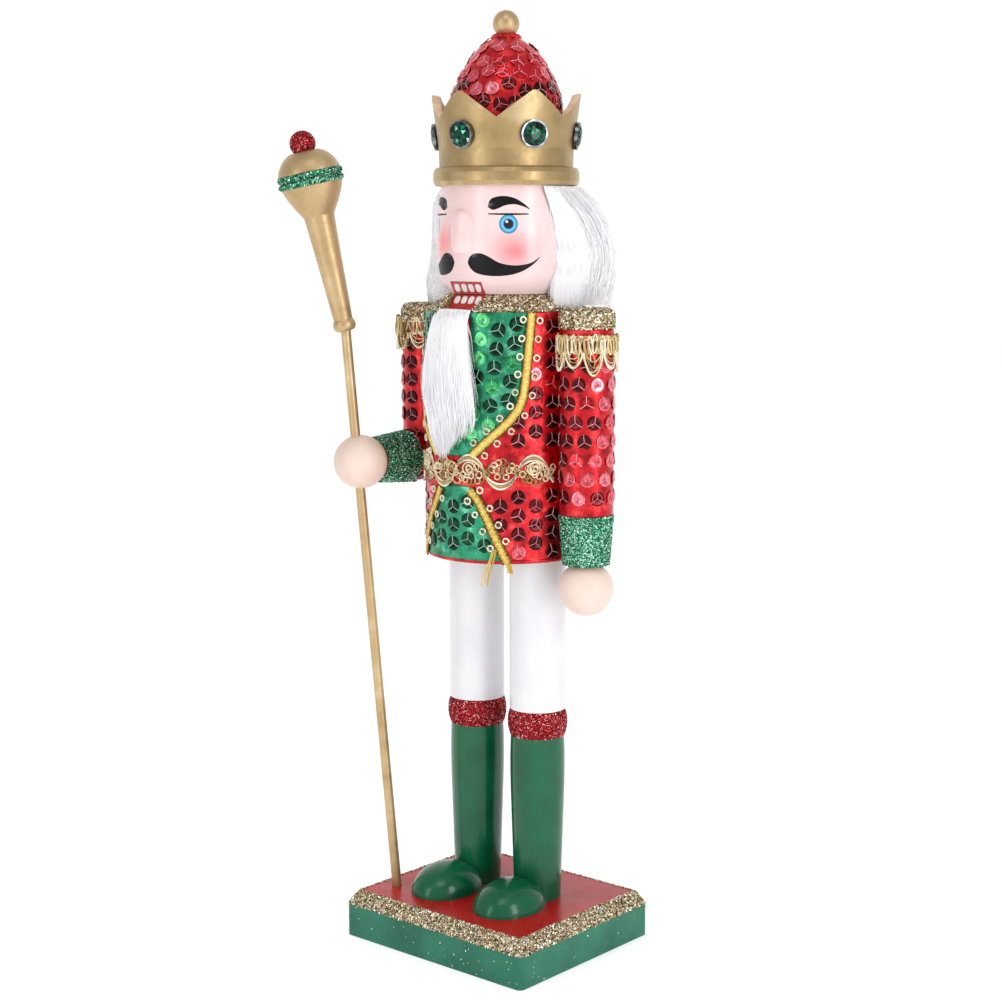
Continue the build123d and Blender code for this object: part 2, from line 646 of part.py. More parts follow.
def build():
    bib, skirt = coat_cutters()
    nodes = {
        "plinth_board": plinth_board(),
        "plinth_glitter_band": plinth_glitter_band(),
        "base_screws": [base_screw(x) for x in (-LEG_X, LEG_X)],
        "leg_dowels": [leg_dowel(side) for side in (-1, 1)],
        "torso_block": torso_block(),
        "tunic_red": tunic_red(bib, skirt),
        "bib_green": bib_green(bib),
        "skirt_panel_green": skirt_panel_green(skirt),
        "bib_braids": bib_braids(),
        "skirt_braids": skirt_braids(),
        "waist_gimp_belt": waist_gimp_belt(),
        "shoulder_glitter": shoulder_glitter(),
        "jaw_pivot_pin": jaw_pivot_pin(),
        "jaw_lever": jaw_lever(),
        "beard": beard(),
        "head_block": head_block(),
        "nose": nose(),
        "neck_dowels": [neck_dowel(x) for x in (-NECK_DOWEL_X, NECK_DOWEL_X)],
        "hair": hair(),
        "crown_dowel": crown_dowel(),
        "crown_ring": crown_ring(),
        "gem_bezels": gem_bezels(),
        "crown_gems": crown_gems(),
        "cap_core": cap_core(),
        "cap_cover": cap_cover(),
        "finial": finial(),
        "shoulder_dowels": [rod_between(*shoulder_dowel_ends(side), 3.0) for side in (-1, 1)],
        "arm_left": arm_left(),
        "arm_right": arm_right(),
        "forearm_right": forearm_right(),
        "elbow_dowel": rod_between(*elbow_dowel_ends(), 2.0),
        "sleeve_left": sleeve_left(),
        "sleeve_right": sleeve_right(),
        "cuff_left": cuff((ARM_X, LEFT_ARM_Y, CUFF_TOP), (0, 0, -1), CUFF_TOP - CUFF_BOTTOM),
        "cuff_right": cuff((-ARM_X, RIGHT_CUFF_BACK, FOREARM_Z), (0, -1, 0), RIGHT_CUFF_LENGTH),
        "hand_left": hand_left(),
        "hand_right": hand_right(),
        "wrist_dowels": wrist_dowels(),
        "staff_rod": staff_rod(),
        "mace_head": mace_head(),
        "mace_glitter_bands": mace_glitter_bands(),
        "mace_red_ball": mace_red_ball(),
    }
    for name, side in (("left", 1), ("right", -1)):
        y = LEFT_ARM_Y if side > 0 else RIGHT_ARM_Y
        nodes[f"boot_{name}"] = boot(side)
        nodes[f"toe_cap_{name}"] = toe_cap(side)
        nodes[f"boot_band_{name}"] = boot_band(side)
        nodes[f"trouser_leg_{name}"] = trouser_leg(side)
        nodes[f"epaulette_pad_{name}"] = arm_pad(y, side)
        nodes[f"epaulette_fringe_{name}"] = epaulette_fringe(side, y)
    return nodes


os.makedirs("parts", exist_ok=True)
for node, shape in build().items():
    if isinstance(shape, list):
        shape = Compound(children=shape)
    export_step(shape, f"parts/{node}.step")
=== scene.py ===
import math

import bpy
import numpy as np
from mathutils import Matrix, Vector
from mathutils.bvhtree import BVHTree


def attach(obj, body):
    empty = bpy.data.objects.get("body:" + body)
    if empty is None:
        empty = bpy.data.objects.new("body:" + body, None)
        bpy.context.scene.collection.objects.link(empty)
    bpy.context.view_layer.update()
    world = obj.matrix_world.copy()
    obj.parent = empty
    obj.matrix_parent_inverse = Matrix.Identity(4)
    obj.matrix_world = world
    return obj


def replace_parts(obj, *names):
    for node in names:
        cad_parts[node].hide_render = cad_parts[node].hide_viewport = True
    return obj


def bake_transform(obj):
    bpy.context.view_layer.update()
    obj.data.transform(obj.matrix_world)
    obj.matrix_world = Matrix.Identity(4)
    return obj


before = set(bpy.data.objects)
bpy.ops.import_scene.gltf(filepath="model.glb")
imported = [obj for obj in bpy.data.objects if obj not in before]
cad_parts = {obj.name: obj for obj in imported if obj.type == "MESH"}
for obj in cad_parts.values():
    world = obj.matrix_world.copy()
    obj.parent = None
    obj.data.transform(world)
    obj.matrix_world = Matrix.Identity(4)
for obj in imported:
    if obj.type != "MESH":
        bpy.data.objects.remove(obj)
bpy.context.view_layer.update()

RNG = np.random.default_rng(7)
MM = 0.001

# Sizes in millimetres, angles in degrees round the figure from its front towards +X.
AXIS = (0.0, 6.7)
COAT_R, COAT_T, COAT_MM_PER_DEGREE = 33.0, 0.7, 0.58
HEM, BELT_LOW, BELT_HIGH, SHOULDER = 163.0, 192.9, 206.7, 262.6
SLOT_HALF, SLOT_FRONT, SLOT_BACK = 8.45, 226.8, 207.9
RED_HEM = 1.3
ARM_X, SLEEVE_R = 43.9, 10.7
LEFT_ARM_Y, RIGHT_ARM_Y, ELBOW_Z = 4.0, 6.7, 200.5
CUFF_HIGH, PAD_LOW, FOREARM_END_Y = 182.7, 256.4, -8.0
SEQUIN_LIFT, SEQUIN_CLEAR, SEQUIN_ROW, SEQUIN_COLUMN = 0.14, 2.4, 7.42, 12.45
ARM_COLUMNS, ARM_GAP = 9, 2.2
PLINTH_TOP = 19.1
FACE_R, CHEEK_R, CHEEKS = 27.6, 11.8, ((-27.0, 289.5), (47.6, 286.0))
GEM_Z, GEM_R, GEM_LEAN, GEM_WALL_R, CROWN_TWIST = 331.5, 4.8, 7.4, 27.95, 3.0
SAWN_FROM, TABLE_Z = 337.3, 1.95
CAP_SEQUIN_PITCH = 6.5
CAP_ROWS = (337.6, 343.4, 349.4, 355.2, 360.8, 366.0)
CAP_PROFILE = [(22.6, 322.1), (23.3, 334), (22.9, 342), (21.6, 348.6), (19.0, 354.6),
               (15.5, 360.6), (11.0, 366.3), (5.0, 370.6)]
HAIR_PROFILE = [(42.0, 262), (42.8, 270), (44.0, 276), (44.1, 284), (43.1, 290), (40.2, 298),
                (35.7, 306), (29.5, 311.8)]
HAIR_EDGE = [(82, 262), (82, 273), (86, 279), (88, 288), (83, 298), (73, 310), (72, 312)]


# ---------------------------------------------------------------- small geometry helpers

def around(angle, radius, z, centre=AXIS):
    """Points at an angle from the front, a radius and a height round an upright axis."""
    a = np.radians(angle)
    x = centre[0] + radius * np.sin(a)
    y = centre[1] - radius * np.cos(a)
    return np.stack(np.broadcast_arrays(x, y, z), axis=-1).astype(float)


def outward(angle):
    a = np.radians(angle)
    return np.stack(np.broadcast_arrays(np.sin(a), -np.cos(a), 0 * a), axis=-1).astype(float)


def smooth_curve(points, count):
    """A Catmull-Rom curve through the points, sampled evenly in its parameter."""
    p = np.array(points, float)
    p = np.vstack([2 * p[0] - p[1], p, 2 * p[-1] - p[-2]])
    t = np.linspace(0, len(p) - 3, count)
    i = np.minimum(t.astype(int), len(p) - 4)
    u = (t - i)[:, None]
    a, b, c, d = p[i], p[i + 1], p[i + 2], p[i + 3]
    return 0.5 * (2 * b + (c - a) * u + (2 * a - 5 * b + 4 * c - d) * u ** 2
                  + (3 * b - a - 3 * c + d) * u ** 3)


def at_height(table, z):
    """Reads a (value, height) table at heights z."""
    rows = sorted(table, key=lambda row: row[1])
    return np.interp(z, [r[1] for r in rows], [r[0] for r in rows])


def unit(v):
    return v / np.maximum(np.linalg.norm(v, axis=-1, keepdims=True), 1e-9)


def sin_of(degrees):
    return math.sin(math.radians(degrees))


def cos_of(degrees):
    return math.cos(math.radians(degrees))


def full_turn(count):
    """Angles in radians of even steps round a circle."""
    return np.arange(count) * 2 * math.pi / count


def tangents(path, closed=False):
    step = np.roll(path, -1, 0) - np.roll(path, 1, 0) if closed else np.gradient(path, axis=0)
    return unit(step)


def lengths_along(path):
    """How far along a path each of its points lies."""
    return np.concatenate([[0], np.cumsum(np.linalg.norm(np.diff(path, axis=0), axis=1))])


def read_at(s, far, vectors):
    """Vectors known at lengths far along a path, read at lengths s."""
    return np.stack([np.interp(s, far, vectors[:, k]) for k in range(3)], axis=-1)


def quads_of(n):
    """The four-cornered faces of a table of point numbers."""
    return np.stack([n[:-1, :-1], n[:-1, 1:], n[1:, 1:], n[1:, :-1]], axis=-1).reshape(-1, 4)


def waves(x, y, seed, scale, octaves=3):
    """Smooth repeatable unevenness, about -1 to 1."""
    rng = np.random.default_rng(seed)
    total = 0.0
    for k in range(octaves):
        a, b, c, d = rng.uniform(-1, 1, 4)
        f = (1.7 ** k) / scale
        total = total + (np.sin(f * (x * (1 + a) + y * b) + 7 * c)
                         * np.sin(f * (y * (1 + d) - x * c) + 5 * a))
    return total / octaves


TUBE_GUIDE = (0.31, 0.17, 0.93)


class Build:
    """Gathers the vertices and faces of one piece, with a tone per vertex."""

    def __init__(self):
        self.points, self.faces, self.tones, self.slots = [], [], [], []
        self.count = 0

    def add(self, points, faces, tone=0.5, slot=0):
        points = np.asarray(points, float).reshape(-1, 3)
        groups = faces if isinstance(faces, list) else [faces]
        for group in groups:
            group = np.asarray(group, int)
            self.faces.append(group + self.count)
            self.slots.append(np.full(len(group), slot))
        self.points.append(points)
        self.tones.append(np.broadcast_to(np.asarray(tone, float), (len(points),)))
        self.count += len(points)

    def grid(self, points, tone=0.5, slot=0, closed=False):
        """A (rows, columns, 3) sheet of points."""
        rows, cols = points.shape[:2]
        n = np.arange(rows * cols).reshape(rows, cols)
        if closed:
            n = np.hstack([n, n[:, :1]])
        tone = np.broadcast_to(np.asarray(tone, float), (rows, cols)).reshape(-1)
        self.add(points.reshape(-1, 3), quads_of(n), tone, slot)

    def tube(self, path, radius, sides=6, tone=0.5, slot=0, closed=False):
        """A round tube along a path, with pointed ends unless it is closed."""
        path = np.asarray(path, float)
        along = tangents(path, closed)
        side = unit(np.cross(along, TUBE_GUIDE))
        up = np.cross(side, along)
        turn = full_turn(sides)
        radius = np.broadcast_to(np.asarray(radius, float), (len(path),))
        ring = np.cos(turn)[None, :, None] * side[:, None] + np.sin(turn)[None, :, None] * up[:, None]
        points = path[:, None] + ring * radius[:, None, None]
        n = np.arange(points.shape[0] * sides).reshape(-1, sides)
        n = np.hstack([n, n[:, :1]])
        if closed:
            n = np.vstack([n, n[:1]])
        groups = [quads_of(n)]
        points = points.reshape(-1, 3)
        if not closed:
            ends = np.array([path[0] - along[0] * radius[0] * 0.5,
                             path[-1] + along[-1] * radius[-1] * 0.5])
            first, last = len(points), len(points) + 1
            groups.append(np.array([[n[0, k + 1], n[0, k], first] for k in range(sides)]
                                   + [[n[-1, k], n[-1, k + 1], last] for k in range(sides)]))
            points = np.vstack([points, ends])
        self.add(points, groups, tone, slot)

    def stamp(self, template, places, axes, tones, slot=0):
        """Copies a template to every place, with its own axes (rows x, y, z) and tone."""
        verts, groups = template
        n = len(places)
        points = places[:, None] + np.einsum("vj,njk->nvk", verts, axes)
        shift = (np.arange(n) * len(verts))[:, None, None]
        faces = [(np.asarray(g)[None] + shift).reshape(-1, len(g[0])) for g in groups]
        tones = np.repeat(np.broadcast_to(tones, (n,)), len(verts))
        self.add(points, faces, tones, slot)

    def piece(self, name, materials, body="figure", smooth=True):
        mesh = bpy.data.meshes.new(name)
        points = (np.concatenate(self.points) * MM).astype(np.float32)
        sizes = np.concatenate([np.full(len(f), f.shape[1]) for f in self.faces])
        corners = np.concatenate([f.ravel() for f in self.faces]).astype(np.int32)
        starts = np.concatenate([[0], np.cumsum(sizes)[:-1]]).astype(np.int32)
        mesh.vertices.add(len(points))
        mesh.vertices.foreach_set("co", points.ravel())
        mesh.loops.add(len(corners))
        mesh.loops.foreach_set("vertex_index", corners)
        mesh.polygons.add(len(sizes))
        mesh.polygons.foreach_set("loop_start", starts)
        mesh.polygons.foreach_set("material_index", np.concatenate(self.slots).astype(np.int32))
        mesh.polygons.foreach_set("use_smooth", np.full(len(sizes), smooth))
        tone = mesh.attributes.new("tone", "FLOAT", "POINT")
        tone.data.foreach_set("value", np.concatenate(self.tones).astype(np.float32))
        mesh.update(calc_edges=True)
        mesh.validate()
        piece = bpy.data.objects.new(name, mesh)
        bpy.context.scene.collection.objects.link(piece)
        for material in materials:
            mesh.materials.append(material)
        if body:
            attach(piece, body)
        return piece


def border(grid):
    """The outermost values of a (rows, columns, ...) grid, in order round it."""
    return np.concatenate([grid[0], grid[1:-1, -1], grid[-1, ::-1], grid[-2:0:-1, 0]])


def thicken(piece, thickness):
    """Gives a sheet its thickness inward from its outer face."""
    solid = piece.modifiers.new("thickness", "SOLIDIFY")
    solid.thickness = thickness * MM
    solid.offset = -1.0
    return piece


def frames(normals, spin):
    """Axes (n, 3, 3) whose z is each normal, spun about it by an angle in radians."""
    z = unit(normals)
    guide = np.where(np.abs(z[:, 2:3]) > 0.95, [[1.0, 0, 0]], [[0, 0, 1.0]])
    x = unit(np.cross(guide, z))
    y = np.cross(z, x)
    c, s = np.cos(spin)[:, None], np.sin(spin)[:, None]
    return np.stack([c * x + s * y, -s * x + c * y, z], axis=1)


# ---------------------------------------------------------------- materials

def linear(code):
    """The linear colour of a 0xRRGGBB display colour."""
    shares = [(code >> shift & 255) / 255 for shift in (16, 8, 0)]
    return tuple(c / 12.92 if c < 0.0405 else ((c + 0.055) / 1.055) ** 2.4 for c in shares)


class Paint:
    """A node material built up step by step from object coordinates."""

    def __init__(self, name):
        self.material = bpy.data.materials.new(name)
        self.material.use_nodes = True
        self.tree = self.material.node_tree
        self.shader = self.tree.nodes["Principled BSDF"]
        self.place = self.node("ShaderNodeTexCoord").outputs["Object"]

    def node(self, kind, inputs=None, **settings):
        node = self.tree.nodes.new(kind)
        for key, value in settings.items():
            setattr(node, key, value)
        for key, value in (inputs or {}).items():
            self.feed(node.inputs[key], value)
        return node

    def feed(self, socket, value):
        """Links another node's output to a socket, or sets the socket's value."""
        if isinstance(value, bpy.types.NodeSocket):
            self.tree.links.new(value, socket)
        else:
            socket.default_value = value

    def noise(self, scale, detail=3.0, rough=0.55, stretch=None):
        place = self.place
        if stretch:
            mapping = self.node("ShaderNodeMapping", {"Vector": place, "Scale": stretch})
            place = mapping.outputs["Vector"]
        node = self.node("ShaderNodeTexNoise",
                         {"Vector": place, "Scale": scale, "Detail": detail, "Roughness": rough})
        return node.outputs["Fac"]

    def ramp(self, value, stops, smooth=True):
        node = self.node("ShaderNodeValToRGB", {"Fac": value})
        ramp = node.color_ramp
        ramp.interpolation = "EASE" if smooth else "LINEAR"
        while len(ramp.elements) < len(stops):
            ramp.elements.new(0.5)
        for element, (place, colour) in zip(ramp.elements, stops):
            element.position = place
            element.color = (*linear(colour), 1.0)
        return node.outputs["Color"]

    def remap(self, value, low, high, to_low=0.0, to_high=1.0):
        node = self.node("ShaderNodeMapRange", {"Value": value, "From Min": low, "From Max": high,
                                                "To Min": to_low, "To Max": to_high})
        return node.outputs["Result"]

    def mix(self, factor, first, second):
        node = self.node("ShaderNodeMix", data_type="RGBA")
        self.feed(node.inputs[0], factor)
        for slot, value in ((6, first), (7, second)):
            self.feed(node.inputs[slot], (*linear(value), 1.0) if isinstance(value, int) else value)
        return node.outputs[2]

    def math(self, operation, first, second=0.0, third=0.0):
        node = self.node("ShaderNodeMath", operation=operation)
        for socket, value in zip(node.inputs, (first, second, third)):
            self.feed(socket, value)
        return node.outputs[0]

    def tone(self):
        return self.node("ShaderNodeAttribute", attribute_name="tone").outputs["Fac"]

    def axis(self, name):
        split = self.node("ShaderNodeSeparateXYZ", {"Vector": self.place})
        return split.outputs[name]

    def colour(self, value):
        self.feed(self.shader.inputs["Base Color"], value)

    def roughness(self, scale, detail, low, high, top=0.7):
        """Roughness that drifts between two values."""
        value = self.remap(self.noise(scale, detail), 0.3, top, low, high)
        self.feed(self.shader.inputs["Roughness"], value)

    def bump(self, height, strength, distance=0.1):
        node = self.node("ShaderNodeBump", {"Height": height, "Strength": strength,
                                            "Distance": distance * MM})
        self.tree.links.new(node.outputs["Normal"], self.shader.inputs["Normal"])

    def set(self, **values):
        names = {"metallic": "Metallic", "rough": "Roughness", "coat": "Coat Weight",
                 "coat_rough": "Coat Roughness", "ior": "IOR", "sheen": "Sheen Weight",
                 "specular": "Specular IOR Level", "glow": "Emission Strength"}
        for key, value in values.items():
            self.shader.inputs[names[key]].default_value = value
        return self


def lacquer(name, base, dark, gloss=0.22, coat=0.6, wear=0.35, bump=0.12):
    """Brushed and sprayed enamel with slight waviness and cloudy unevenness."""
    paint = Paint(name)
    cloud = paint.noise(55, 4)
    paint.colour(paint.ramp(cloud, [(0.3, dark), (0.62, base)]))
    paint.roughness(160, 3, gloss, gloss + 0.14, top=0.75)
    paint.bump(paint.noise(420, 3), bump, 0.06)
    paint.set(coat=coat, coat_rough=0.12 + 0.2 * wear)
    return paint


def toned(name, stops, metallic=0.0, rough=0.35, coat=0.0, grain=600):
    """A material whose colour follows each vertex's tone."""
    paint = Paint(name)
    mixed = paint.math("ADD", paint.tone(), paint.remap(paint.noise(grain, 2), 0.3, 0.7, -0.05, 0.05))
    paint.colour(paint.ramp(mixed, stops, smooth=False))
    paint.roughness(900, 2, rough * 0.8, rough * 1.2)
    paint.set(metallic=metallic, coat=coat, coat_rough=0.1)
    return paint


def lame(name, base, deep, bright):
    """Metallic foil cloth: a fine knit with broad soft dents, its colour darker in the hollows as painted shade
    and lighter on the rises as painted sheen.
    """
    paint = Paint(name)
    dents = paint.noise(210, 4, 0.6)
    # The colour follows the dent height: the deep stop is painted shade in the hollows, the bright stop painted
    # sheen on the rises.
    paint.colour(paint.ramp(dents, [(0.30, deep), (0.5, base), (0.74, bright)]))
    knit = paint.noise(2600, 2, 0.5, (1, 1, 0.6))
    height = paint.math("MULTIPLY_ADD", knit, 0.25, dents)
    paint.bump(height, 0.4, 0.4)
    paint.roughness(700, 2, 0.26, 0.4)
    return paint.set(metallic=0.7, coat=0.15, coat_rough=0.25)


GREEN = lacquer("green_enamel", 0x0A6442, 0x065436, 0.18, 0.2)
GREEN.set(specular=0.3, coat_rough=0.08)
RED = lacquer("red_enamel", 0xC41822, 0xB0121C, 0.22)
WHITE = lacquer("white_enamel", 0xECECF0, 0xE4E4EA, 0.3, 0.5)
# Its grey top stop is the painted highlight on the brows and moustache.
BLACK = toned("black_enamel", [(0.0, 0x08080A), (0.6, 0x18181C), (1.0, 0x807E82)], rough=0.4)
BLACK.set(specular=0.2)
HAND = lacquer("hand_enamel", 0xEFD7CA, 0xE5CBBE, 0.42, 0.15, bump=0.25)
TEETH = toned("tooth_enamel", [(0.0, 0xE8E2E0), (1.0, 0xFAF7F5)], rough=0.25, coat=0.4)


def face_enamel():
    """Pink skin enamel with airbrushed cheeks."""
    paint = Paint("face_enamel")
    skin = paint.ramp(paint.noise(45, 3), [(0.3, 0xEDCFCF), (0.7, 0xF4D9D9)])
    blush = 0xFA868A
    for angle, height in CHEEKS:
        spot = around(angle, FACE_R, height) * MM
        offset = paint.node("ShaderNodeVectorMath", {0: paint.place, 1: spot}, operation="SUBTRACT")
        stretched = paint.node("ShaderNodeVectorMath", {0: offset.outputs[0], 1: (1.0, 1.0, 1.25)},
                               operation="MULTIPLY")
        far = paint.node("ShaderNodeVectorMath", {0: stretched.outputs[0]}, operation="LENGTH")
        amount = paint.remap(far.outputs["Value"], CHEEK_R * MM, 1.5 * MM, 0.0, 0.9)
        skin = paint.mix(amount, skin, blush)
    paint.colour(skin)
    paint.roughness(150, 3, 0.2, 0.32)
    paint.bump(paint.noise(300, 3), 0.08, 0.06)
    return paint.set(coat=0.22, coat_rough=0.1, specular=0.35)


GOLD_METALLIC = 0.72


def gold_enamel(name, base, deep, bright, rough=0.36):
    """Satin gold paint with metal powder grain, scuffs and pinholes."""
    paint = Paint(name)
    cloud = paint.noise(70, 5)
    tint = paint.ramp(cloud, [(0.28, deep), (0.5, base), (0.75, bright)])
    specks = paint.remap(paint.noise(2400, 1), 0.62, 0.74, 0.0, 0.45)
    tint = paint.mix(specks, tint, bright)
    pits = paint.remap(paint.noise(260, 5, 0.7), 0.285, 0.25, 0.0, 0.75)
    paint.colour(paint.mix(pits, tint, 0x5C4628))
    paint.roughness(500, 3, rough - 0.06, rough + 0.1)
    paint.bump(paint.noise(900, 4, 0.6), 0.16, 0.08)
    return paint.set(metallic=GOLD_METALLIC, coat=0.1, coat_rough=0.3)


GOLD = gold_enamel("gold_enamel", 0xC4A87C, 0xB2966C, 0xDCC6A0, 0.42)
FACE = face_enamel()


def crown_enamel():
    """Gold over bare wood that shows where the points were sawn."""
    paint = gold_enamel("crown_enamel", 0xB09668, 0x9C8256, 0xCCB48A)
    gold = paint.shader.inputs["Base Color"].links[0].from_socket
    split = paint.node("ShaderNodeSeparateXYZ",
                       {"Vector": paint.node("ShaderNodeNewGeometry").outputs["True Normal"]})
    high = paint.remap(paint.axis("Z"), SAWN_FROM * MM, (SAWN_FROM + 0.5) * MM)
    facing_up = paint.remap(split.outputs["Z"], 0.4, 0.48)
    sawn = paint.math("MULTIPLY", high, facing_up)
    grain = paint.noise(300, 4, 0.6, (1, 1, 0.12))
    wood = paint.ramp(grain, [(0.3, 0xE2BA8E), (0.7, 0xFADCB8)])
    paint.colour(paint.mix(sawn, gold, wood))
    dry = paint.math("SUBTRACT", 1.0, sawn)
    paint.feed(paint.shader.inputs["Metallic"], paint.math("MULTIPLY", dry, GOLD_METALLIC))
    return paint


def plinth_enamel():
    """Green sides and a red top; the stray glitter stuck in the green is scattered over the board as its own
    piece.
    """
    paint = Paint("plinth_enamel")
    cloud = paint.noise(40, 4)
    green = paint.ramp(cloud, [(0.3, 0x18624C), (0.65, 0x26785E)])
    red = paint.ramp(cloud, [(0.3, 0xAA080E), (0.65, 0xBE0E16)])
    top = paint.remap(paint.axis("Z"), (PLINTH_TOP - 0.3) * MM, (PLINTH_TOP - 0.1) * MM)
    paint.colour(paint.mix(top, green, red))
    paint.roughness(120, 3, 0.2, 0.36)
    paint.bump(paint.noise(350, 3), 0.15, 0.08)
    return paint.set(coat=0.12, coat_rough=0.2, specular=0.22)


def fur_fibre(name):
    paint = Paint(name)
    streak = paint.remap(paint.noise(500, 2, 0.5, (1, 1, 0.05)), 0.3, 0.7, -0.06, 0.06)
    value = paint.math("ADD", paint.tone(), streak)
    whites = [(0.0, 0xDEDEE2), (0.4, 0xF4F4F6), (0.75, 0xFBFBFE)]
    paint.colour(paint.ramp(value, whites, smooth=False))
    return paint.set(rough=0.62, sheen=0.5, specular=0.3)


def bezel_metal():
    paint = Paint("bezel_metal")
    paint.colour(paint.ramp(paint.noise(400, 3), [(0.35, 0x54545A), (0.7, 0xA8AAB0)]))
    paint.roughness(800, 2, 0.1, 0.22)
    return paint.set(metallic=1.0)


def bare_wood():
    paint = Paint("bare_wood")
    grain = paint.noise(200, 4, 0.6, (1, 1, 0.08))
    paint.colour(paint.ramp(grain, [(0.3, 0xC49E70), (0.7, 0xE4C498)]))
    paint.bump(grain, 0.3, 0.2)
    return paint.set(rough=0.62)


def foam_skin():
    paint = Paint("foam_skin")
    paint.colour(paint.ramp(paint.noise(900, 2), [(0.3, 0xD6D6D8), (0.7, 0xF0F0F2)]))
    paint.bump(paint.noise(1200, 2), 0.5, 0.3)
    return paint.set(rough=0.9)


WOOD = bare_wood()
BEZEL = bezel_metal()
FOAM = foam_skin()
FUR = fur_fibre("white_fur")
RED_LAME = lame("red_lame", 0xCE1622, 0x8E0812, 0xF85450)
GREEN_LAME = lame("green_lame", 0x26926A, 0x105E42, 0x74CEA8)
# Sequins reflect for real, and their tone ramps also paint reflections: from a dark painted reflection to a
# pale painted highlight.
SEQUIN_STEPS = (0.0, 0.3, 0.6, 0.85, 1.0)
RED_SEQUIN, GREEN_SEQUIN = (
    toned(name, list(zip(SEQUIN_STEPS, colours)), 0.85, 0.2, 0.12)
    for name, colours in (("red_sequin", (0x34040A, 0x780C16, 0xE02836, 0xF67886, 0xFFC8CE)),
                          ("green_sequin", (0x08281A, 0x105436, 0x30A860, 0x70E492, 0xC8FCD8))))
RED_THREAD = toned("red_thread", [(0.0, 0xBE545E), (1.0, 0xFFCED2)], 0.1, 0.4)
GREEN_THREAD = toned("green_thread", [(0.0, 0x64A082), (1.0, 0xD6F6E4)], 0.1, 0.4)
# The braid's darkest tones go where a strand dips under the others, as painted shade; its lightest where it
# crosses over, as painted highlight.
BRAID_GOLD = toned("braid_gold", [(0.0, 0x54380E), (0.35, 0xBE9432), (1.0, 0xFAE484)], 0.45, 0.38)
GIMP_GOLD = toned("gimp_gold", [(0.0, 0x4E381A), (0.4, 0xBA985C), (0.7, 0xF0DCAA),
                                (1.0, 0xFFFCEC)], 0.45, 0.34)
PICOT_GOLD = toned("picot_gold", [(0.0, 0xA88C52), (1.0, 0xFCF6E0)], 0.3, 0.35)
# The glitter ramps end near white: those tones are painted glints.
CHAMPAGNE = toned("champagne_glitter", [(0.0, 0x30220E), (0.25, 0x826636), (0.6, 0xD8BE88),
                                        (0.86, 0xFCF2D4), (1.0, 0xFFFFFA)], 0.7, 0.24)
GREEN_GLITTER = toned("green_glitter", [(0.0, 0x083E2C), (0.35, 0x228A64), (0.7, 0x5CC89A),
                                        (0.9, 0xB2F4D4), (1.0, 0xF0FFF8)], 0.7, 0.24)
RED_GLITTER = toned("red_glitter", [(0.0, 0x54040C), (0.4, 0xA00C18), (0.84, 0xDC2230),
                                    (0.93, 0xFA8C8C), (1.0, 0xFFF0EE)], 0.75, 0.22)
# The glass tones run from dark to near white: painted reflections on the facets.
GEM = toned("gem_glass", [(0.0, 0x021610), (0.4, 0x044632), (0.75, 0x0E805C),
                          (0.92, 0x5AD6B2), (1.0, 0xDCFFF4)], 0.3, 0.08)
GEM.set(specular=0.35)
IRIS = toned("iris_enamel", [(0.0, 0x08080E), (0.47, 0x0A1028), (0.53, 0x266096),
                             (0.6, 0x70C8EC), (0.78, 0x5CB8E2), (0.9, 0x2484B2),
                             (1.0, 0x1E6EA0)], 0.0, 0.15, 0.8, 60)


def undercoat(name, stops):
    """The painted ground that glitter is stuck to."""
    paint = Paint(name)
    grit = paint.noise(2200, 2, 0.7)
    paint.colour(paint.ramp(grit, stops, smooth=False))
    paint.bump(grit, 0.8, 0.3)
    return paint.set(metallic=0.5, rough=0.4)


CHAMPAGNE_BASE = undercoat("champagne_ground", [(0.3, 0x4C381A), (0.5, 0xA08450), (0.7, 0xEAD8AA)])
GREEN_BASE = undercoat("green_ground", [(0.3, 0x08422C), (0.55, 0x18744C), (0.75, 0x38A472)])
RED_BASE = undercoat("red_ground", [(0.3, 0x60080E), (0.55, 0xA0121C), (0.75, 0xCE3038)])


def finish_cad(names, paint):
    """Gives CAD nodes that already have the right shape a finish of their own."""
    for name in names:
        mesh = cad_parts[name].data
        mesh.materials.clear()
        mesh.materials.append(paint.material)


# ---------------------------------------------------------------- pieces laid on CAD surfaces

def node_triangles(name):
    """Corner points (n, 3, 3) in mm of a CAD node's triangles."""
    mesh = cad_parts[name].data
    mesh.calc_loop_triangles()
    co = np.zeros(len(mesh.vertices) * 3)
    mesh.vertices.foreach_get("co", co)
    tri = np.zeros(len(mesh.loop_triangles) * 3, int)
    mesh.loop_triangles.foreach_get("vertices", tri)
    return co.reshape(-1, 3)[tri.reshape(-1, 3)] / MM


# A six-sided flake, flat on top, with a point at number 6 below it.
FLAKE = (np.array([[1, 0, 0], [0.5, 0.87, 0], [-0.5, 0.87, 0], [-1, 0, 0], [-0.5, -0.87, 0],
                   [0.5, -0.87, 0], [0, 0, -0.5]]),
         [[[0, k, k + 1] for k in range(1, 5)] + [[(k + 1) % 6, k, 6] for k in range(6)]])


def flake_tones(count, bright):
    """Tones of flakes; a share of about bright are painted near white as painted glints, on top of the real
    glints of the tilted flakes.
    """
    tone = RNG.beta(0.75, 1.0, count)
    return np.where(RNG.random(count) < bright, RNG.uniform(0.85, 1.0, count), tone)


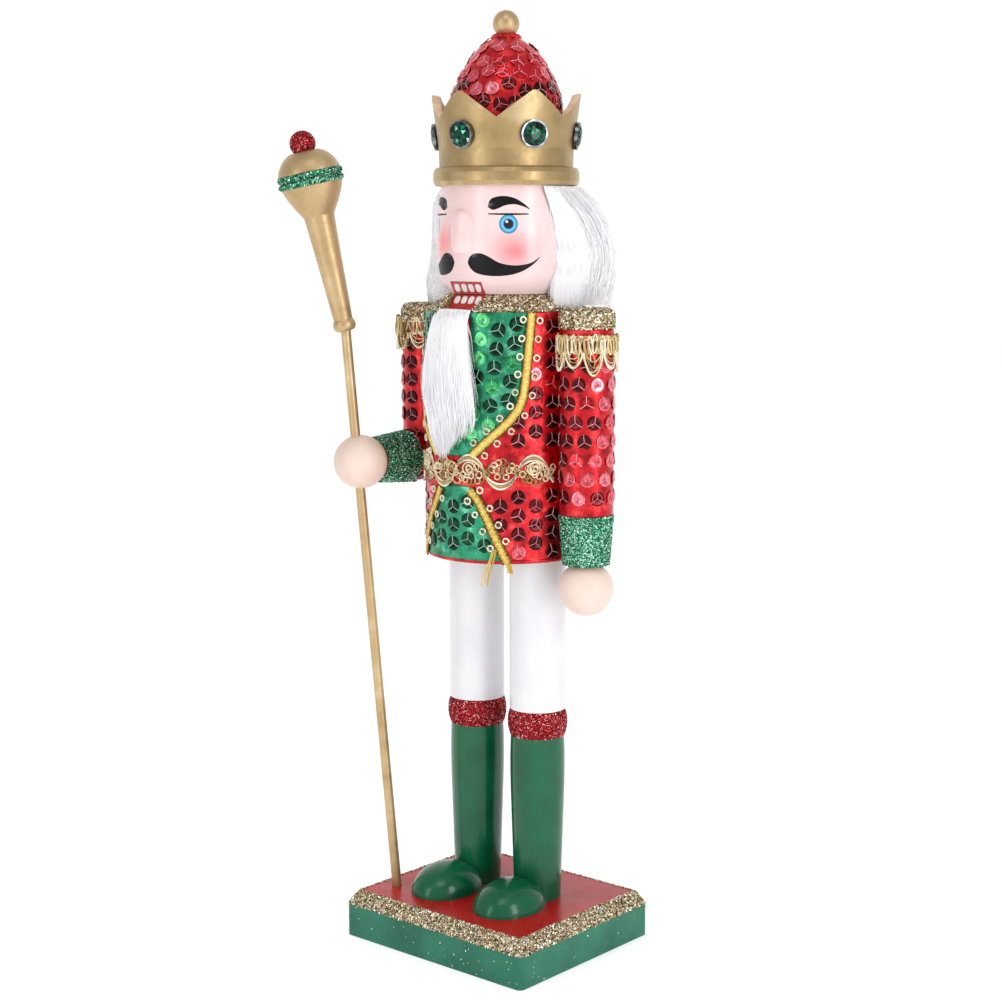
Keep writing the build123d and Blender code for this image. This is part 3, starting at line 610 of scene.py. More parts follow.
def glitter(name, node, paint, density, size, keep=None, body="figure", bright=0.1):
    """Tilted glitter flakes scattered over a CAD node's outside.

    density is in flakes to a square mm; keep says which places and normals take them; bright is the share
    painted near white as glints."""
    tri = node_triangles(node)
    cross = np.cross(tri[:, 1] - tri[:, 0], tri[:, 2] - tri[:, 0])
    area = np.linalg.norm(cross, axis=1) / 2
    normal = unit(cross)
    if keep:
        area = np.where(keep(tri.mean(axis=1), normal), area, 0)
    count = int(area.sum() * density)
    pick = RNG.choice(len(tri), count, p=area / area.sum())
    u, v = RNG.random((2, count, 1))
    flip = u + v > 1
    u, v = np.where(flip, 1 - u, u), np.where(flip, 1 - v, v)
    t = tri[pick]
    places = t[:, 0] + u * (t[:, 1] - t[:, 0]) + v * (t[:, 2] - t[:, 0])
    tilt = RNG.normal(0, 0.42, (count, 3))
    axes = frames(normal[pick] + tilt, RNG.uniform(0, 6.3, count))
    axes *= RNG.uniform(*size, count)[:, None, None]
    places += normal[pick] * (0.05 + RNG.uniform(0, 0.08, count))[:, None]
    build = Build()
    build.stamp(FLAKE, places, axes, flake_tones(count, bright))
    return build.piece(name, [paint.material], body, smooth=False)


def skin_finder(name):
    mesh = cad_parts[name].data
    tree = BVHTree.FromPolygons([v.co.copy() for v in mesh.vertices],
                                [tuple(p.vertices) for p in mesh.polygons])

    def hit(angle, z):
        """The point (mm) and outward normal where a level ray at an angle meets the node."""
        start = Vector(around(angle, 60.0, z) * MM)
        towards = Vector((-sin_of(angle), cos_of(angle), 0))
        point, normal, _, _ = tree.ray_cast(start, towards)
        if normal.dot(towards) > 0:
            normal = -normal
        return np.array(point) / MM, np.array(normal)
    return hit


def decal(build, hit, lower, upper, tone, across=6, lift=0.06):
    """A painted shape on the head between two (angle, height) curves."""
    along = 40
    low, high = smooth_curve(lower, along), smooth_curve(upper, along)
    t = np.linspace(0, 1, across)[:, None, None]
    flat = low[None] * (1 - t) + high[None] * t
    points = np.zeros((across, along, 3))
    normals = np.zeros((across, along, 3))
    for i in range(across):
        for j in range(along):
            points[i, j], normals[i, j] = hit(*flat[i, j])
    top = points + normals * lift
    build.grid(top, tone)
    ring = np.stack([border(top), border(points) - 0.02])
    rim_tone = border(np.broadcast_to(tone, (across, along)))
    build.grid(ring, np.stack([rim_tone, rim_tone]), closed=True)


# ---------------------------------------------------------------- plinth and legs

soft_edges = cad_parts["plinth_board"].modifiers.new("soft_edges", "BEVEL")
soft_edges.width, soft_edges.segments = 0.5 * MM, 3
finish_cad(["plinth_board"], plinth_enamel())
finish_cad(["plinth_glitter_band"], CHAMPAGNE_BASE)


def upward(p, n):
    return n[:, 2] > 0.3


def stray(p, n):
    """The upright sides of the board, not the holes in it."""
    return (n[:, 2] < 0.2) & (n[:, 2] > -0.2) & (np.abs(p[:, 0]) + np.abs(p[:, 1]) > 30)


glitter("plinth_flakes", "plinth_glitter_band", CHAMPAGNE, 7, (0.22, 0.48), upward, bright=0.26)
glitter("stray_flakes", "plinth_board", CHAMPAGNE, 0.05, (0.14, 0.32), stray, bright=0.3)
finish_cad(["boot_left", "boot_right", "toe_cap_left", "toe_cap_right"], GREEN)
finish_cad(["trouser_leg_left", "trouser_leg_right"], WHITE)
finish_cad(["boot_band_left", "boot_band_right", "mace_red_ball"], RED_BASE)
for side in ("left", "right"):
    glitter(f"boot_flakes_{side}", f"boot_band_{side}", RED_GLITTER, 9, (0.16, 0.32),
            lambda p, n: np.abs(n[:, 2]) < 0.8, bright=0.1)
finish_cad(["base_screws", "jaw_pivot_pin"], BEZEL)
finish_cad(["leg_dowels", "neck_dowels", "shoulder_dowels", "crown_dowel", "elbow_dowel",
            "wrist_dowels", "arm_left", "arm_right", "forearm_right"], WOOD)


# ---------------------------------------------------------------- coat

BIB_EDGE = [(28.0, 262.8), (27.0, 243.0), (26.0, 230.0), (24.2, 223.5), (20.4, 217.6), (14.8, 211.6),
            (9.0, 205.7), (7.5, 193.9)]
SKIRT_LEFT = [(7.5, 193.9), (12.2, 187.4), (17.1, 175.7), (21.4, 162.0)]
SKIRT_RIGHT = [(-6.0, 193.9), (-10.3, 185.4), (-14.9, 178.0), (-19.7, 162.0)]


def angle_of(x):
    return np.degrees(np.arcsin(np.clip(x / COAT_R, -1, 1)))


def front_edge(side, z):
    """Angle of the red cloth's front edge at heights z: along the bib, then along the skirt panel."""
    skirt = SKIRT_LEFT if side > 0 else SKIRT_RIGHT
    bib = np.where(z > BELT_HIGH - 1, side * at_height(BIB_EDGE, z), 0.0)
    edge = np.where(z > BELT_LOW + 1, bib, at_height(skirt, z))
    return angle_of(np.where(z < HEM + RED_HEM, 0.0, edge))


def coat_point(angle, z):
    """A point on the coat's outside, with its shallow dents and turned-in hem."""
    along = angle * COAT_MM_PER_DEGREE
    dent = 0.16 * waves(along, z, 3, 6.0) + 0.08 * waves(along, z, 4, 2.2)
    roll = 0.45 * np.clip(1 - (z - HEM) / 1.2, 0, 1) ** 2
    return around(angle, COAT_R - 0.1 + dent - roll, z)


def panel(name, lows, highs, levels, paint, node, flat, columns):
    """Cloth between two edge angles at each of many heights."""
    t = np.linspace(0, 1, columns)[None, :]
    angle = lows[:, None] * (1 - t) + highs[:, None] * t
    build = Build()
    build.grid(coat_point(angle, levels[:, None] + 0 * angle))
    piece = thicken(build.piece(name, [paint.material]), COAT_T)
    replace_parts(piece, node)


def levels_between(low, high, step=0.8):
    """Even heights about a step apart."""
    return np.linspace(low, high, int((high - low) / step) + 2)


def coat_panels():
    """The red coat halves, the bib halves above the belt and the skirt panel below it."""
    slot = math.degrees(math.asin(SLOT_HALF / COAT_R))
    low = np.concatenate([levels_between(HEM, HEM + RED_HEM - 0.02, 0.4),
                          levels_between(HEM + RED_HEM + 0.02, SLOT_BACK)])
    high = levels_between(SLOT_BACK + 0.05, SHOULDER)
    z = np.concatenate([low, high])
    for side, name in ((1, "coat_left"), (-1, "coat_right")):
        front = front_edge(side, z)
        back = side * np.where(z > SLOT_BACK, 180 - slot, 180.0)
        ends = (front, back) if side > 0 else (back, front)
        panel(name, *ends, z, RED_LAME, "tunic_red", (0.080, 0.0996), 150)
    z = np.concatenate([levels_between(BELT_HIGH - 1, SLOT_FRONT),
                        levels_between(SLOT_FRONT + 0.05, SHOULDER)])
    for side, name in ((1, "bib_left"), (-1, "bib_right")):
        inner = side * np.where(z > SLOT_FRONT, slot, 0.0)
        outer = angle_of(side * at_height(BIB_EDGE, z))
        ends = (inner, outer) if side > 0 else (outer, inner)
        panel(name, *ends, z, GREEN_LAME, "bib_green", (0.0215, 0.057), 50)
    z = levels_between(HEM + RED_HEM, BELT_LOW + 1)
    panel("skirt_panel", angle_of(at_height(SKIRT_RIGHT, z)), angle_of(at_height(SKIRT_LEFT, z)), z,
          GREEN_LAME, "skirt_panel_green", (0.032, 0.031), 60)


# ---------------------------------------------------------------- sequins

def sequin_disc():
    """A thin embossed disc with a hole, lying on its own z = 0 plane."""
    profile = [(0.5, -0.03), (0.55, 0.1), (1.15, 0.03), (1.35, 0.1), (2.2, 0.12), (2.75, 0.08),
               (2.9, 0.0), (2.6, -0.05)]
    turn = full_turn(20)
    rings = [np.stack([r * np.cos(turn), r * np.sin(turn), 0 * turn + h], axis=-1) for r, h in profile]
    points = np.concatenate(rings)
    n = np.arange(len(points)).reshape(len(profile), len(turn))
    n = np.hstack([n, n[:, :1]])
    return points, [quads_of(n.T).tolist()]


def stitch():
    """Three stitches from the hole to just past the rim."""
    build = Build()
    for k in range(3):
        angle = 90 + 120 * k
        run = [(0.15, -0.1), (0.6, 0.24), (1.6, 0.25), (2.7, 0.2), (3.15, -0.2)]
        build.tube([(r * cos_of(angle), r * sin_of(angle), h) for r, h in run], 0.125, 4)
    return np.concatenate(build.points), [f.tolist() for f in build.faces]


SEQUIN, STITCH = sequin_disc(), stitch()


def sew(name, places, normals, tones, sequin=RED_SEQUIN, thread=RED_THREAD):
    """Sequins sewn flat on cloth, each tilted a little, held by three stitches."""
    places, normals = np.array(places), np.array(normals)
    count = len(places)
    tilt = RNG.normal(0, 0.035, (count, 3))
    axes = frames(normals + tilt, RNG.uniform(-0.35, 0.35, count))
    build = Build()
    build.stamp(SEQUIN, places + unit(normals) * SEQUIN_LIFT, axes, tones, 0)
    build.stamp(STITCH, places + unit(normals) * (SEQUIN_LIFT + 0.01), axes, RNG.uniform(0.3, 1.0, count), 1)
    build.piece(name, [sequin.material, thread.material])


def sequin_tone(painted_highlight_share):
    """A sequin's tone, which paints its reflection: mostly dark painted reflections, some painted highlights.
    """
    pick = RNG.random()
    if pick < painted_highlight_share:
        return RNG.uniform(0.72, 0.88)
    if pick < painted_highlight_share + 0.08:
        return RNG.uniform(0.4, 0.6)
    return RNG.uniform(0.02, 0.16)


def clear_of_edges(angle, z):
    """Whether a sequin on the coat keeps clear of braids, belt, hem and slots."""
    if not (HEM + SEQUIN_CLEAR < z < SHOULDER - 2.6) or BELT_LOW - 2.2 < z < BELT_HIGH + 2.2:
        return False
    x = COAT_R * sin_of(angle)
    return cos_of(angle) >= 0 or z <= SLOT_BACK - 3 or abs(x) >= SLOT_HALF + 3


def on_upright(rows, radius, centre=AXIS):
    """Places, normals and tones of (angle, height, tone) rows on an upright cylinder."""
    angle, z, tone = np.array(rows).T
    return around(angle, radius, z, centre), outward(angle), tone


def coat_sequins():
    """Staggered columns on the red cloth, slanting ones on the bib, and the skirt panel's own."""
    red, green = [], []
    for column in range(-19, 10):
        for row in range(-10, 10):
            angle = 61.2 + SEQUIN_COLUMN * column
            z = (223.4 if row >= 0 else 223.2) + SEQUIN_ROW * row + 3.75 * (column % 2)
            if not -180 < angle <= 180 or not clear_of_edges(angle, z):
                continue
            if abs(angle) >= abs(front_edge(1 if angle > 0 else -1, z)) + 6.5:
                red.append((angle, z, sequin_tone(0.16)))
    for column in range(0, 9):
        for row in range(-2, 14):
            shift = -2.2 * column if column < 2 else -2.0 * column - 1.8
            z = 257.9 - SEQUIN_ROW * row + shift
            angle = 47.6 - 12.3 * column - 1.45 * row
            x = COAT_R * sin_of(angle)
            in_slot = z > SLOT_FRONT - 3 and abs(x) < SLOT_HALF + SEQUIN_CLEAR
            past_braid = abs(x) > at_height(BIB_EDGE, z) - SEQUIN_CLEAR
            if in_slot or past_braid or not BELT_HIGH + 3.5 < z < SHOULDER - 2.8:
                continue
            # Sequins of the third bib column up high, those low on the bib and a few at random get pale tones
            # as painted highlights.
            painted_highlight = (column == 2 and z > 238) or z < 223 or RNG.random() < 0.03
            tone = RNG.uniform(0.66, 0.86) if painted_highlight else sequin_tone(0.0)
            green.append((angle, z, tone))
    for column in range(-3, 4):
        for row in range(0, 6):
            angle, z = 0.4 + 12.3 * column, 185.2 - 7.4 * row + 2.4 * (column % 2)
            x = COAT_R * sin_of(angle)
            low, high = at_height(SKIRT_RIGHT, z) + 3.4, at_height(SKIRT_LEFT, z) - 3.4
            if HEM + 2.6 < z < BELT_LOW - 3 and low < x < high:
                green.append((angle, z, sequin_tone(0.06)))
    for name, rows, sequin, thread in (("sequins_coat", red, RED_SEQUIN, RED_THREAD),
                                       ("sequins_green", green, GREEN_SEQUIN, GREEN_THREAD)):
        sew(name, *on_upright(rows, COAT_R - 0.05), sequin, thread)


# ---------------------------------------------------------------- sleeves

SLEEVE_TURN = np.linspace(0, 360, 49)[:-1]


def sleeve_cloth(name, rings, node):
    """Cloth round an arm, from rings given by their centre and two directions across the arm."""
    build = Build()
    rows = []
    for k, (centre, across, up) in enumerate(rings):
        dent = SLEEVE_R - 0.08 + 0.14 * waves(SLEEVE_TURN * 0.19, k * 0.9, 11, 4.0)
        a = np.radians(SLEEVE_TURN)[:, None]
        rows.append(centre + dent[:, None] * (np.sin(a) * across - np.cos(a) * up))
    build.grid(np.array(rows), closed=True)
    piece = thicken(build.piece(name, [RED_LAME.material]), COAT_T)
    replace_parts(piece, node)


def upright_rings(y, side, low, high):
    """Level rings up an upper arm."""
    east, front = np.array([1.0, 0, 0]), np.array([0, 1.0, 0])
    return [(np.array([side * ARM_X, y, z]), east, front) for z in levels_between(low, high, 1.0)]


def right_sleeve_rings():
    """Down the upper arm to the mitred elbow, then forward to the cuff."""
    east, back, up = np.eye(3)
    corner = np.array([-ARM_X, RIGHT_ARM_Y, ELBOW_Z])
    slant = (SLEEVE_R + 0.1) * np.cos(np.radians(SLEEVE_TURN))[:, None]
    clear = SLEEVE_R + 1.0
    rings = upright_rings(RIGHT_ARM_Y, -1, ELBOW_Z + clear, PAD_LOW)[::-1]
    shares = np.linspace(0, 1, 13)[1:]
    for share in shares:
        rings.append((corner + ((1 - share) * clear + share * slant) * up, east, back))
    for share in shares:
        rings.append((corner - ((1 - share) * slant + share * clear) * back, east, -up))
    for y in np.linspace(RIGHT_ARM_Y - clear, FOREARM_END_Y, 5)[1:]:
        rings.append((np.array([-ARM_X, y, ELBOW_Z]), east, -up))
    return rings[::-1]


def arm_sequins():
    """Level staggered rows on both upper arms, then two rows round the bent forearm."""
    rows = []
    for row in range(10):
        z = 249.6 - SEQUIN_ROW * row
        if z < CUFF_HIGH + 2.6:
            continue
        for k in range(ARM_COLUMNS):
            angle = 17.8 + 40 * k + (20 if row % 2 else 0) + 4 * math.sin(row)
            if SLEEVE_R * sin_of(angle) + ARM_X < COAT_R + ARM_GAP:
                continue
            # Sequins facing +X, a share of the lower rows and most in a band at the front near the elbow get
            # pale tones as painted highlights.
            painted_highlight_side = 70 < angle % 360 < 140
            tone = RNG.uniform(0.7, 0.86) if painted_highlight_side else sequin_tone(0.05 if z > 210 else 0.4)
            if 189 < z < 209 and -10 < (angle + 180) % 360 - 180 < 60 and RNG.random() < 0.7:
                tone = RNG.uniform(0.6, 0.8)
            rows.append((angle, z, tone))
    sew("sequins_sleeve_left", *on_upright(rows, SLEEVE_R, (ARM_X, LEFT_ARM_Y)))
    rows = []
    for row in range(6):
        z = 247.0 - 7.3 * row
        for k in range(ARM_COLUMNS):
            angle = 3 - 40 * k
            by_coat = SLEEVE_R * sin_of(angle) - ARM_X > -COAT_R - ARM_GAP
            by_forearm = z < ELBOW_Z + SLEEVE_R + 3.2 and cos_of(angle) > 0.3
            if not by_coat and not by_forearm:
                rows.append((angle, z, sequin_tone(0.06)))
    places, normals, tones = on_upright(rows, SLEEVE_R, (-ARM_X, RIGHT_ARM_Y))
    for row, y in enumerate((-4.2, 3.2)):
        for k in range(ARM_COLUMNS):
            angle = 20 + 40 * k + (20 if row % 2 else 0)
            normal = np.array([sin_of(angle), 0, cos_of(angle)])
            place = np.array([-ARM_X, y, ELBOW_Z]) + SLEEVE_R * normal
            if place[0] > -COAT_R - 2.0 or (y > 0 and normal[2] > -0.2):
                continue
            places = np.vstack([places, place])
            normals = np.vstack([normals, normal])
            tones = np.append(tones, sequin_tone(0.1))
    sew("sequins_sleeve_right", places, normals, tones)


# ---------------------------------------------------------------- trims

BELT_START, BELT_HALF_REPEAT, CORD_TWIST = 1.75, 12.9, 1.6
BRAID_W, PLAIT_STRANDS, PLAIT_REPEAT, PLAIT_STEP = 4.5, 7, 5.6, 0.28


def on_coat(line, lift):
    """Points (x, z) seen from the front, laid on the coat and lifted off it."""
    return around(angle_of(line[:, 0]), COAT_R + lift, line[:, 1])


def plait(build, path, normals):
    """A flat braid of strands crossing over and under one another along a path."""
    far = lengths_along(path)
    count = int(far[-1] / PLAIT_STEP)
    s = np.linspace(0, far[-1], count)
    p, n = read_at(s, far, path), unit(read_at(s, far, normals))
    side = unit(np.cross(np.gradient(p, axis=0), n))
    for k in range(PLAIT_STRANDS):
        phase = 2 * math.pi * (s / PLAIT_REPEAT + k / PLAIT_STRANDS)
        across = np.sin(phase) * (BRAID_W / 2 - 0.42)
        over = 0.26 * np.cos(2 * phase)
        line = p + side * across[:, None] + n * (0.36 + 0.8 * over)[:, None]
        # A strand's tone is darker where it dips under the others, as painted shade, and lighter where it
        # crosses over, as painted highlight.
        tone = np.clip(RNG.uniform(0.1, 0.6) + 2.2 * over + RNG.normal(0, 0.1, count), 0, 1)
        build.tube(line, 0.3, 6, np.append(np.repeat(tone, 6), [0.5, 0.5]))


def ring_path(centre, x_axis, y_axis, radius):
    turn = full_turn(14)[:, None]
    return centre + radius * (np.cos(turn) * x_axis + np.sin(turn) * y_axis)


def picots(build, path, normals, spacing=7.2, start=3.0, radius=1.15):
    """Small thread rings standing out on both sides of a braid."""
    far = lengths_along(path)
    for s in np.arange(start, far[-1] - 1.5, spacing):
        p, n = read_at(s, far, path), unit(read_at(s, far, normals))
        along = unit(read_at(s + 0.4, far, path) - p)
        side = unit(np.cross(along, n))
        for way in (-1, 1):
            jitter = RNG.normal(0, 0.12, 3)
            centre = p + side * way * (BRAID_W / 2 + radius) + n * 0.55 + jitter
            r = radius * RNG.uniform(0.92, 1.08)
            outer = ring_path(centre, along, side, r)
            build.tube(outer, 0.38, 6, RNG.uniform(0.55, 1.0), 1, closed=True)
            upper = ring_path(centre + n * 0.12, along, side, r * 1.02)
            build.tube(upper, 0.24, 5, RNG.uniform(0.3, 0.7), 1, closed=True)


def braided_edge(build, points):
    """Braid and picots along an (x, z) line on the coat."""
    line = smooth_curve(points, 90)
    path = on_coat(line, 0.15)
    normals = outward(angle_of(line[:, 0]))
    plait(build, path, normals)
    picots(build, path, normals)


def coat_braids():
    """Braids down both sides of the bib and the skirt panel, with the loose ends below the hem."""
    build = Build()
    for side in (1, -1):
        points = [(side * x, z) for x, z in BIB_EDGE[:-1]]
        braided_edge(build, [(side * 28.0, SHOULDER - 0.2)] + points[1:])
    piece = build.piece("braid_bib", [BRAID_GOLD.material, PICOT_GOLD.material])
    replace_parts(piece, "bib_braids")
    build = Build()
    braided_edge(build, [(8.3, BELT_LOW - 0.5)] + SKIRT_LEFT[1:-1] + [(21.6, HEM + 0.6)])
    braided_edge(build, [(-6.6, BELT_LOW - 0.5)] + SKIRT_RIGHT[1:-1] + [(-20.0, HEM + 0.6)])
    tail = smooth_curve([(17.6, HEM + 6), (16.6, HEM + 1), (15.2, HEM - 4), (14.6, HEM - 8.4)], 40)
    tail_path = on_coat(tail, 0.9)
    for k in range(4):
        drift = RNG.normal(0, 0.18, 3) + np.array([0.32 * (k - 1.5), 0, 0])
        sway = np.linspace(0, 1, 40)[:, None] * RNG.normal(0, 0.5, 3)
        build.tube(tail_path + drift + sway, 0.3, 5, RNG.uniform(0.4, 0.9))
    end = smooth_curve([(21.6, HEM + 1), (22.2, HEM - 1.6), (22.4, HEM - 3.4)], 12)
    for k in range(5):
        drift = np.array([0.5 * (k - 2), 0, 0]) + RNG.normal(0, 0.15, 3)
        build.tube(on_coat(end, 0.4) + drift, 0.34, 5, RNG.uniform(0.4, 0.9))
    piece = build.piece("braid_skirt", [BRAID_GOLD.material, PICOT_GOLD.material])
    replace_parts(piece, "skirt_braids")


def near_arm(angle, gap):
    """Whether a place on the coat lies behind an arm."""
    p = around(angle, COAT_R + 1, 0.0)
    arms = ((ARM_X, LEFT_ARM_Y), (-ARM_X, RIGHT_ARM_Y))
    return any(math.hypot(p[0] - x, p[1] - y) < gap for x, y in arms)


def wrap(points, lift):
    """Lays flat (arc length, height) points on the coat, arc measured from the front."""
    angle = np.degrees(points[:, 0] / COAT_R)
    return around(angle, COAT_R + lift, points[:, 1])


def cord_line(build, flat, radius, lift, tone, closed=False):
    """Two thin threads twisted into a cord along flat points on the coat."""
    path = wrap(flat, lift)
    normal = outward(np.degrees(flat[:, 0] / COAT_R))
    far = lengths_along(np.vstack([path, path[:1]]))[:len(path)]
    side = np.cross(tangents(path, closed), normal)
    for k in range(2):
        phase = (2 * math.pi * far / CORD_TWIST + math.pi * k)[:, None]
        offset = radius * 0.62 * (np.cos(phase) * side + np.sin(phase) * normal)
        build.tube(path + offset, radius * 0.66, 5, tone, 0, closed)


def belt_wave(s, amplitude):
    """Height of the gimp's thick cord above mid belt: round arches and scallops by turns."""
    phase = math.pi * (np.asarray(s, float) - BELT_START) / BELT_HALF_REPEAT
    return amplitude * np.sign(np.sin(phase)) * np.abs(np.sin(phase)) ** 0.65


def belt_runs():
    """Arc lengths along the belt, split where the arms press on it."""
    runs, run = [], []
    for angle in np.arange(-180, 180.1, 0.6):
        if near_arm(angle, 12.7):
            if len(run) > 12:
                runs.append(np.array(run))
            run = []
        else:
            run.append(math.radians(angle) * COAT_R)
    runs.append(np.array(run))
    return runs


def loop(build, s, z, radius, thread=0.3, lift=0.6):
    stretch = RNG.uniform(0.9, 1.2)
    a = np.radians(np.linspace(0, 330, 13))
    flat = np.stack([s + radius * np.cos(a), z + stretch * radius * np.sin(a)], axis=-1)
    cord_line(build, flat, thread, lift + RNG.uniform(-0.15, 0.3), RNG.uniform(0.15, 1.0), closed=True)


def gimp_belt():
    """Gimp of thick cord waves filled with small loops and scrolls."""
    build = Build()
    mid = (BELT_LOW + BELT_HIGH) / 2
    for run in belt_runs():
        for amplitude, lift, tone in ((6.6, 0.5, 1.0), (5.6, 0.7, 0.45), (4.6, 0.55, 0.95)):
            flat = np.stack([run, mid + belt_wave(run, amplitude)], axis=-1)
            cord_line(build, flat, 0.46, lift, tone)
        for s in np.arange(run[0] + 1.4, run[-1] - 1.2, 1.7):
            wave = float(belt_wave(s, 1.0))
            loop(build, s, mid - 1.2 * wave + RNG.normal(0, 0.3), 1.25)
            loop(build, s + 1.0, mid - 3.9 * wave + RNG.normal(0, 0.3), 1.15)
            if abs(wave) > 0.85:
                loop(build, s + 0.5, mid + 2.0 * wave + RNG.normal(0, 0.2), 1.1)
    for k in range(-7, 8):
        s = BELT_START + BELT_HALF_REPEAT * (2 * k + 0.5)
        if near_arm(math.degrees(s / COAT_R), 17.0):
            continue
        turn = np.linspace(0, 1, 34)
        radius = 3.2 - 2.6 * turn
        scroll = np.stack([s + radius * np.cos(11 * turn),
                           mid + 1.0 + radius * np.sin(11 * turn)], axis=-1)
        cord_line(build, scroll, 0.36, 0.95, 0.8)
    for s, z in ((-3.5, mid - 2.0), (0.5, mid + 1.0), (3.0, mid - 2.6), (-7.5, mid + 0.5)):
        loop(build, s, z, 2.3, 0.36, 0.9)
    piece = build.piece("gimp_belt", [GIMP_GOLD.material])
    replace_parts(piece, "waist_gimp_belt")


FRINGE_ENDS, FRINGE_LOOP_TURN, SWAGS, STRAY_THREADS = (-46.0, 226.0), 8.0, 7, 34
FRINGE_CORDS = ((253.4, 11.35), (252.4, 11.7), (247.4, 11.6))


def fringe(side, y, rise, swell):
    """Upright loops below a heading, with swags of cord hanging under them.

    rise lifts the trim up the arm, and swell is how far its tangled loops stand out."""
    build = Build()
    name = "left" if side > 0 else "right"
    centre = (side * ARM_X, y)

    def on_arm(angle, r, z):
        return around(side * angle, r + swell * RNG.uniform(0.3, 1.0), z + rise, centre)

    low, high = FRINGE_ENDS
    angle = np.linspace(low, high, 170)
    for z, r in FRINGE_CORDS:
        for k in range(2):
            phase = np.radians(angle * 20 + 180 * k)
            cord = on_arm(angle, r + 0.2 * np.cos(phase), z + 0.22 * np.sin(phase))
            build.tube(cord, 0.27, 5, RNG.uniform(0.3, 1.0))
    turn = full_turn(22)
    for middle in np.arange(low + 3, high - 3, FRINGE_LOOP_TURN):
        lean = RNG.normal(0, 2.0)
        for width, thread, z_half in ((4.1, 0.36, 3.6), (2.6, 0.28, 3.0)):
            a = middle + lean * np.sin(turn) + width * np.cos(turn)
            r = 11.75 + 0.3 * np.sin(turn + RNG.uniform(0, 6)) + RNG.normal(0, 0.12)
            height = 250.4 + RNG.normal(0, 0.35) + z_half * np.sin(turn)
            build.tube(on_arm(a, r, height), thread, 5, RNG.uniform(0.15, 1.0), closed=True)
    step = (high - low) / SWAGS
    for k in range(SWAGS):
        start = low + step * k
        t = np.linspace(0, 1, 34)
        drop = 6.6 + RNG.normal(0, 0.7)
        angle = start + step * (0.03 + 0.94 * t)
        z = 247.3 - drop * np.sin(math.pi * t) ** 0.62
        tone = RNG.uniform(0.75, 1.0)
        for j in range(2):
            phase = 2 * math.pi * (t * 8 + j / 2)
            cord = on_arm(angle, 11.75 + 0.3 * np.cos(phase), z + 0.3 * np.sin(phase))
            build.tube(cord, 0.38, 5, tone)
        for share in (0.35, 0.62, 0.82):
            inner = 247.0 - share * drop * np.sin(math.pi * t) ** 0.7
            across = start + step * (0.5 + (0.3 + 0.2 * share) * (2 * t - 1)) + RNG.normal(0, 1.2)
            thread = on_arm(across, 11.55 + 0.2 * np.sin(9 * t + k), inner)
            build.tube(thread, 0.26, 5, RNG.uniform(0.1, 0.9))
    for _ in range(STRAY_THREADS):
        start = RNG.uniform(low, high)
        t = np.linspace(0, 1, 12)
        bend = RNG.normal(0, 5) * t ** 1.5 + RNG.normal(0, 2) * np.sin(6 * t)
        depth = 11.6 + RNG.uniform(0.1, 0.9) * np.sin(3 * t)
        thread = on_arm(start + bend, depth, 252.6 - RNG.uniform(5, 12) * t)
        build.tube(thread, 0.22, 4, RNG.uniform(0.2, 1.0))
    piece = build.piece(f"fringe_{name}", [GIMP_GOLD.material])
    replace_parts(piece, f"epaulette_fringe_{name}")


# ---------------------------------------------------------------- head

NOSE_LOW, NOSE_TOP, NOSE_HALF_W, NOSE_RISE, NOSE_ROUND = 284.8, 302.4, 5.4, 2.5, 5.0


# Lower and upper edges, as (angle from the front, height), of one side's painted shapes.
BROW = ([(25.4, 303.3), (29.5, 302.2), (34, 302.7), (40, 303.9), (47.5, 304.3), (54.5, 303.5), (60.5, 302.3)],
        [(25.6, 304.0), (27.6, 306.2), (33.5, 307.3), (41.5, 307.4), (49, 306.4), (55.6, 304.5), (60.7, 302.5)])
LID_LINE = ([(25.8, 300.4), (42, 300.15), (59.2, 300.3)], [(25.8, 300.8), (42, 300.85), (59.2, 300.75)])
MOUSTACHE = ([(7.6, 281.4), (9.6, 279.6), (13.5, 278.0), (20, 277.0), (30, 276.5), (40, 276.7),
              (49, 277.5), (57.5, 279.2), (64.5, 281.5), (69.4, 283.9)],
             [(7.5, 281.9), (9.2, 283.8), (13.5, 285.2), (20, 285.3), (27.3, 283.8), (34, 281.9),
              (42.2, 280.9), (50.5, 280.7), (61.5, 281.7), (69.6, 284.1)])
EYE_ANGLE, EYE_Z, EYE_R = 42.6, 296.7, 3.75


def paint_face():
    """Brows, lid lines, moustache and eyes laid on the head."""
    hit = skin_finder("head_block")
    black, eyes = Build(), Build()
    t, rise = np.linspace(0, 1, 40)[None, :], np.linspace(0, 1, 6)[:, None]
    # The brows and moustache are greyed in a band as painted highlights on the black.
    brow_painted_highlight = np.clip((0.95 - 1.35 * t) * np.sin(0.35 + 2.25 * rise), 0.12, 0.95)
    moustache_painted_highlight = 0.14 + 0.62 * np.exp(-((t - 0.22) ** 2) / 0.02) * rise
    for s in (1, -1):
        reach = 1.0 if s > 0 else 1.2
        decal(black, hit, *(mirror(edge, s, reach) for edge in BROW), brow_painted_highlight)
        decal(black, hit, *(mirror(edge, s, reach) for edge in LID_LINE), 0.1, across=3, lift=0.1)
        decal(black, hit, *(mirror(edge, s) for edge in MOUSTACHE), moustache_painted_highlight)
        eye_disc(eyes, hit, s * EYE_ANGLE, EYE_Z, EYE_R, 0)
        eye_disc(eyes, hit, s * EYE_ANGLE - 1.5, EYE_Z + 0.9, 0.55, 1, lift=0.14)
    black.piece("painted_brows_moustache", [BLACK.material])
    eyes.piece("painted_eyes", [IRIS.material, TEETH.material])


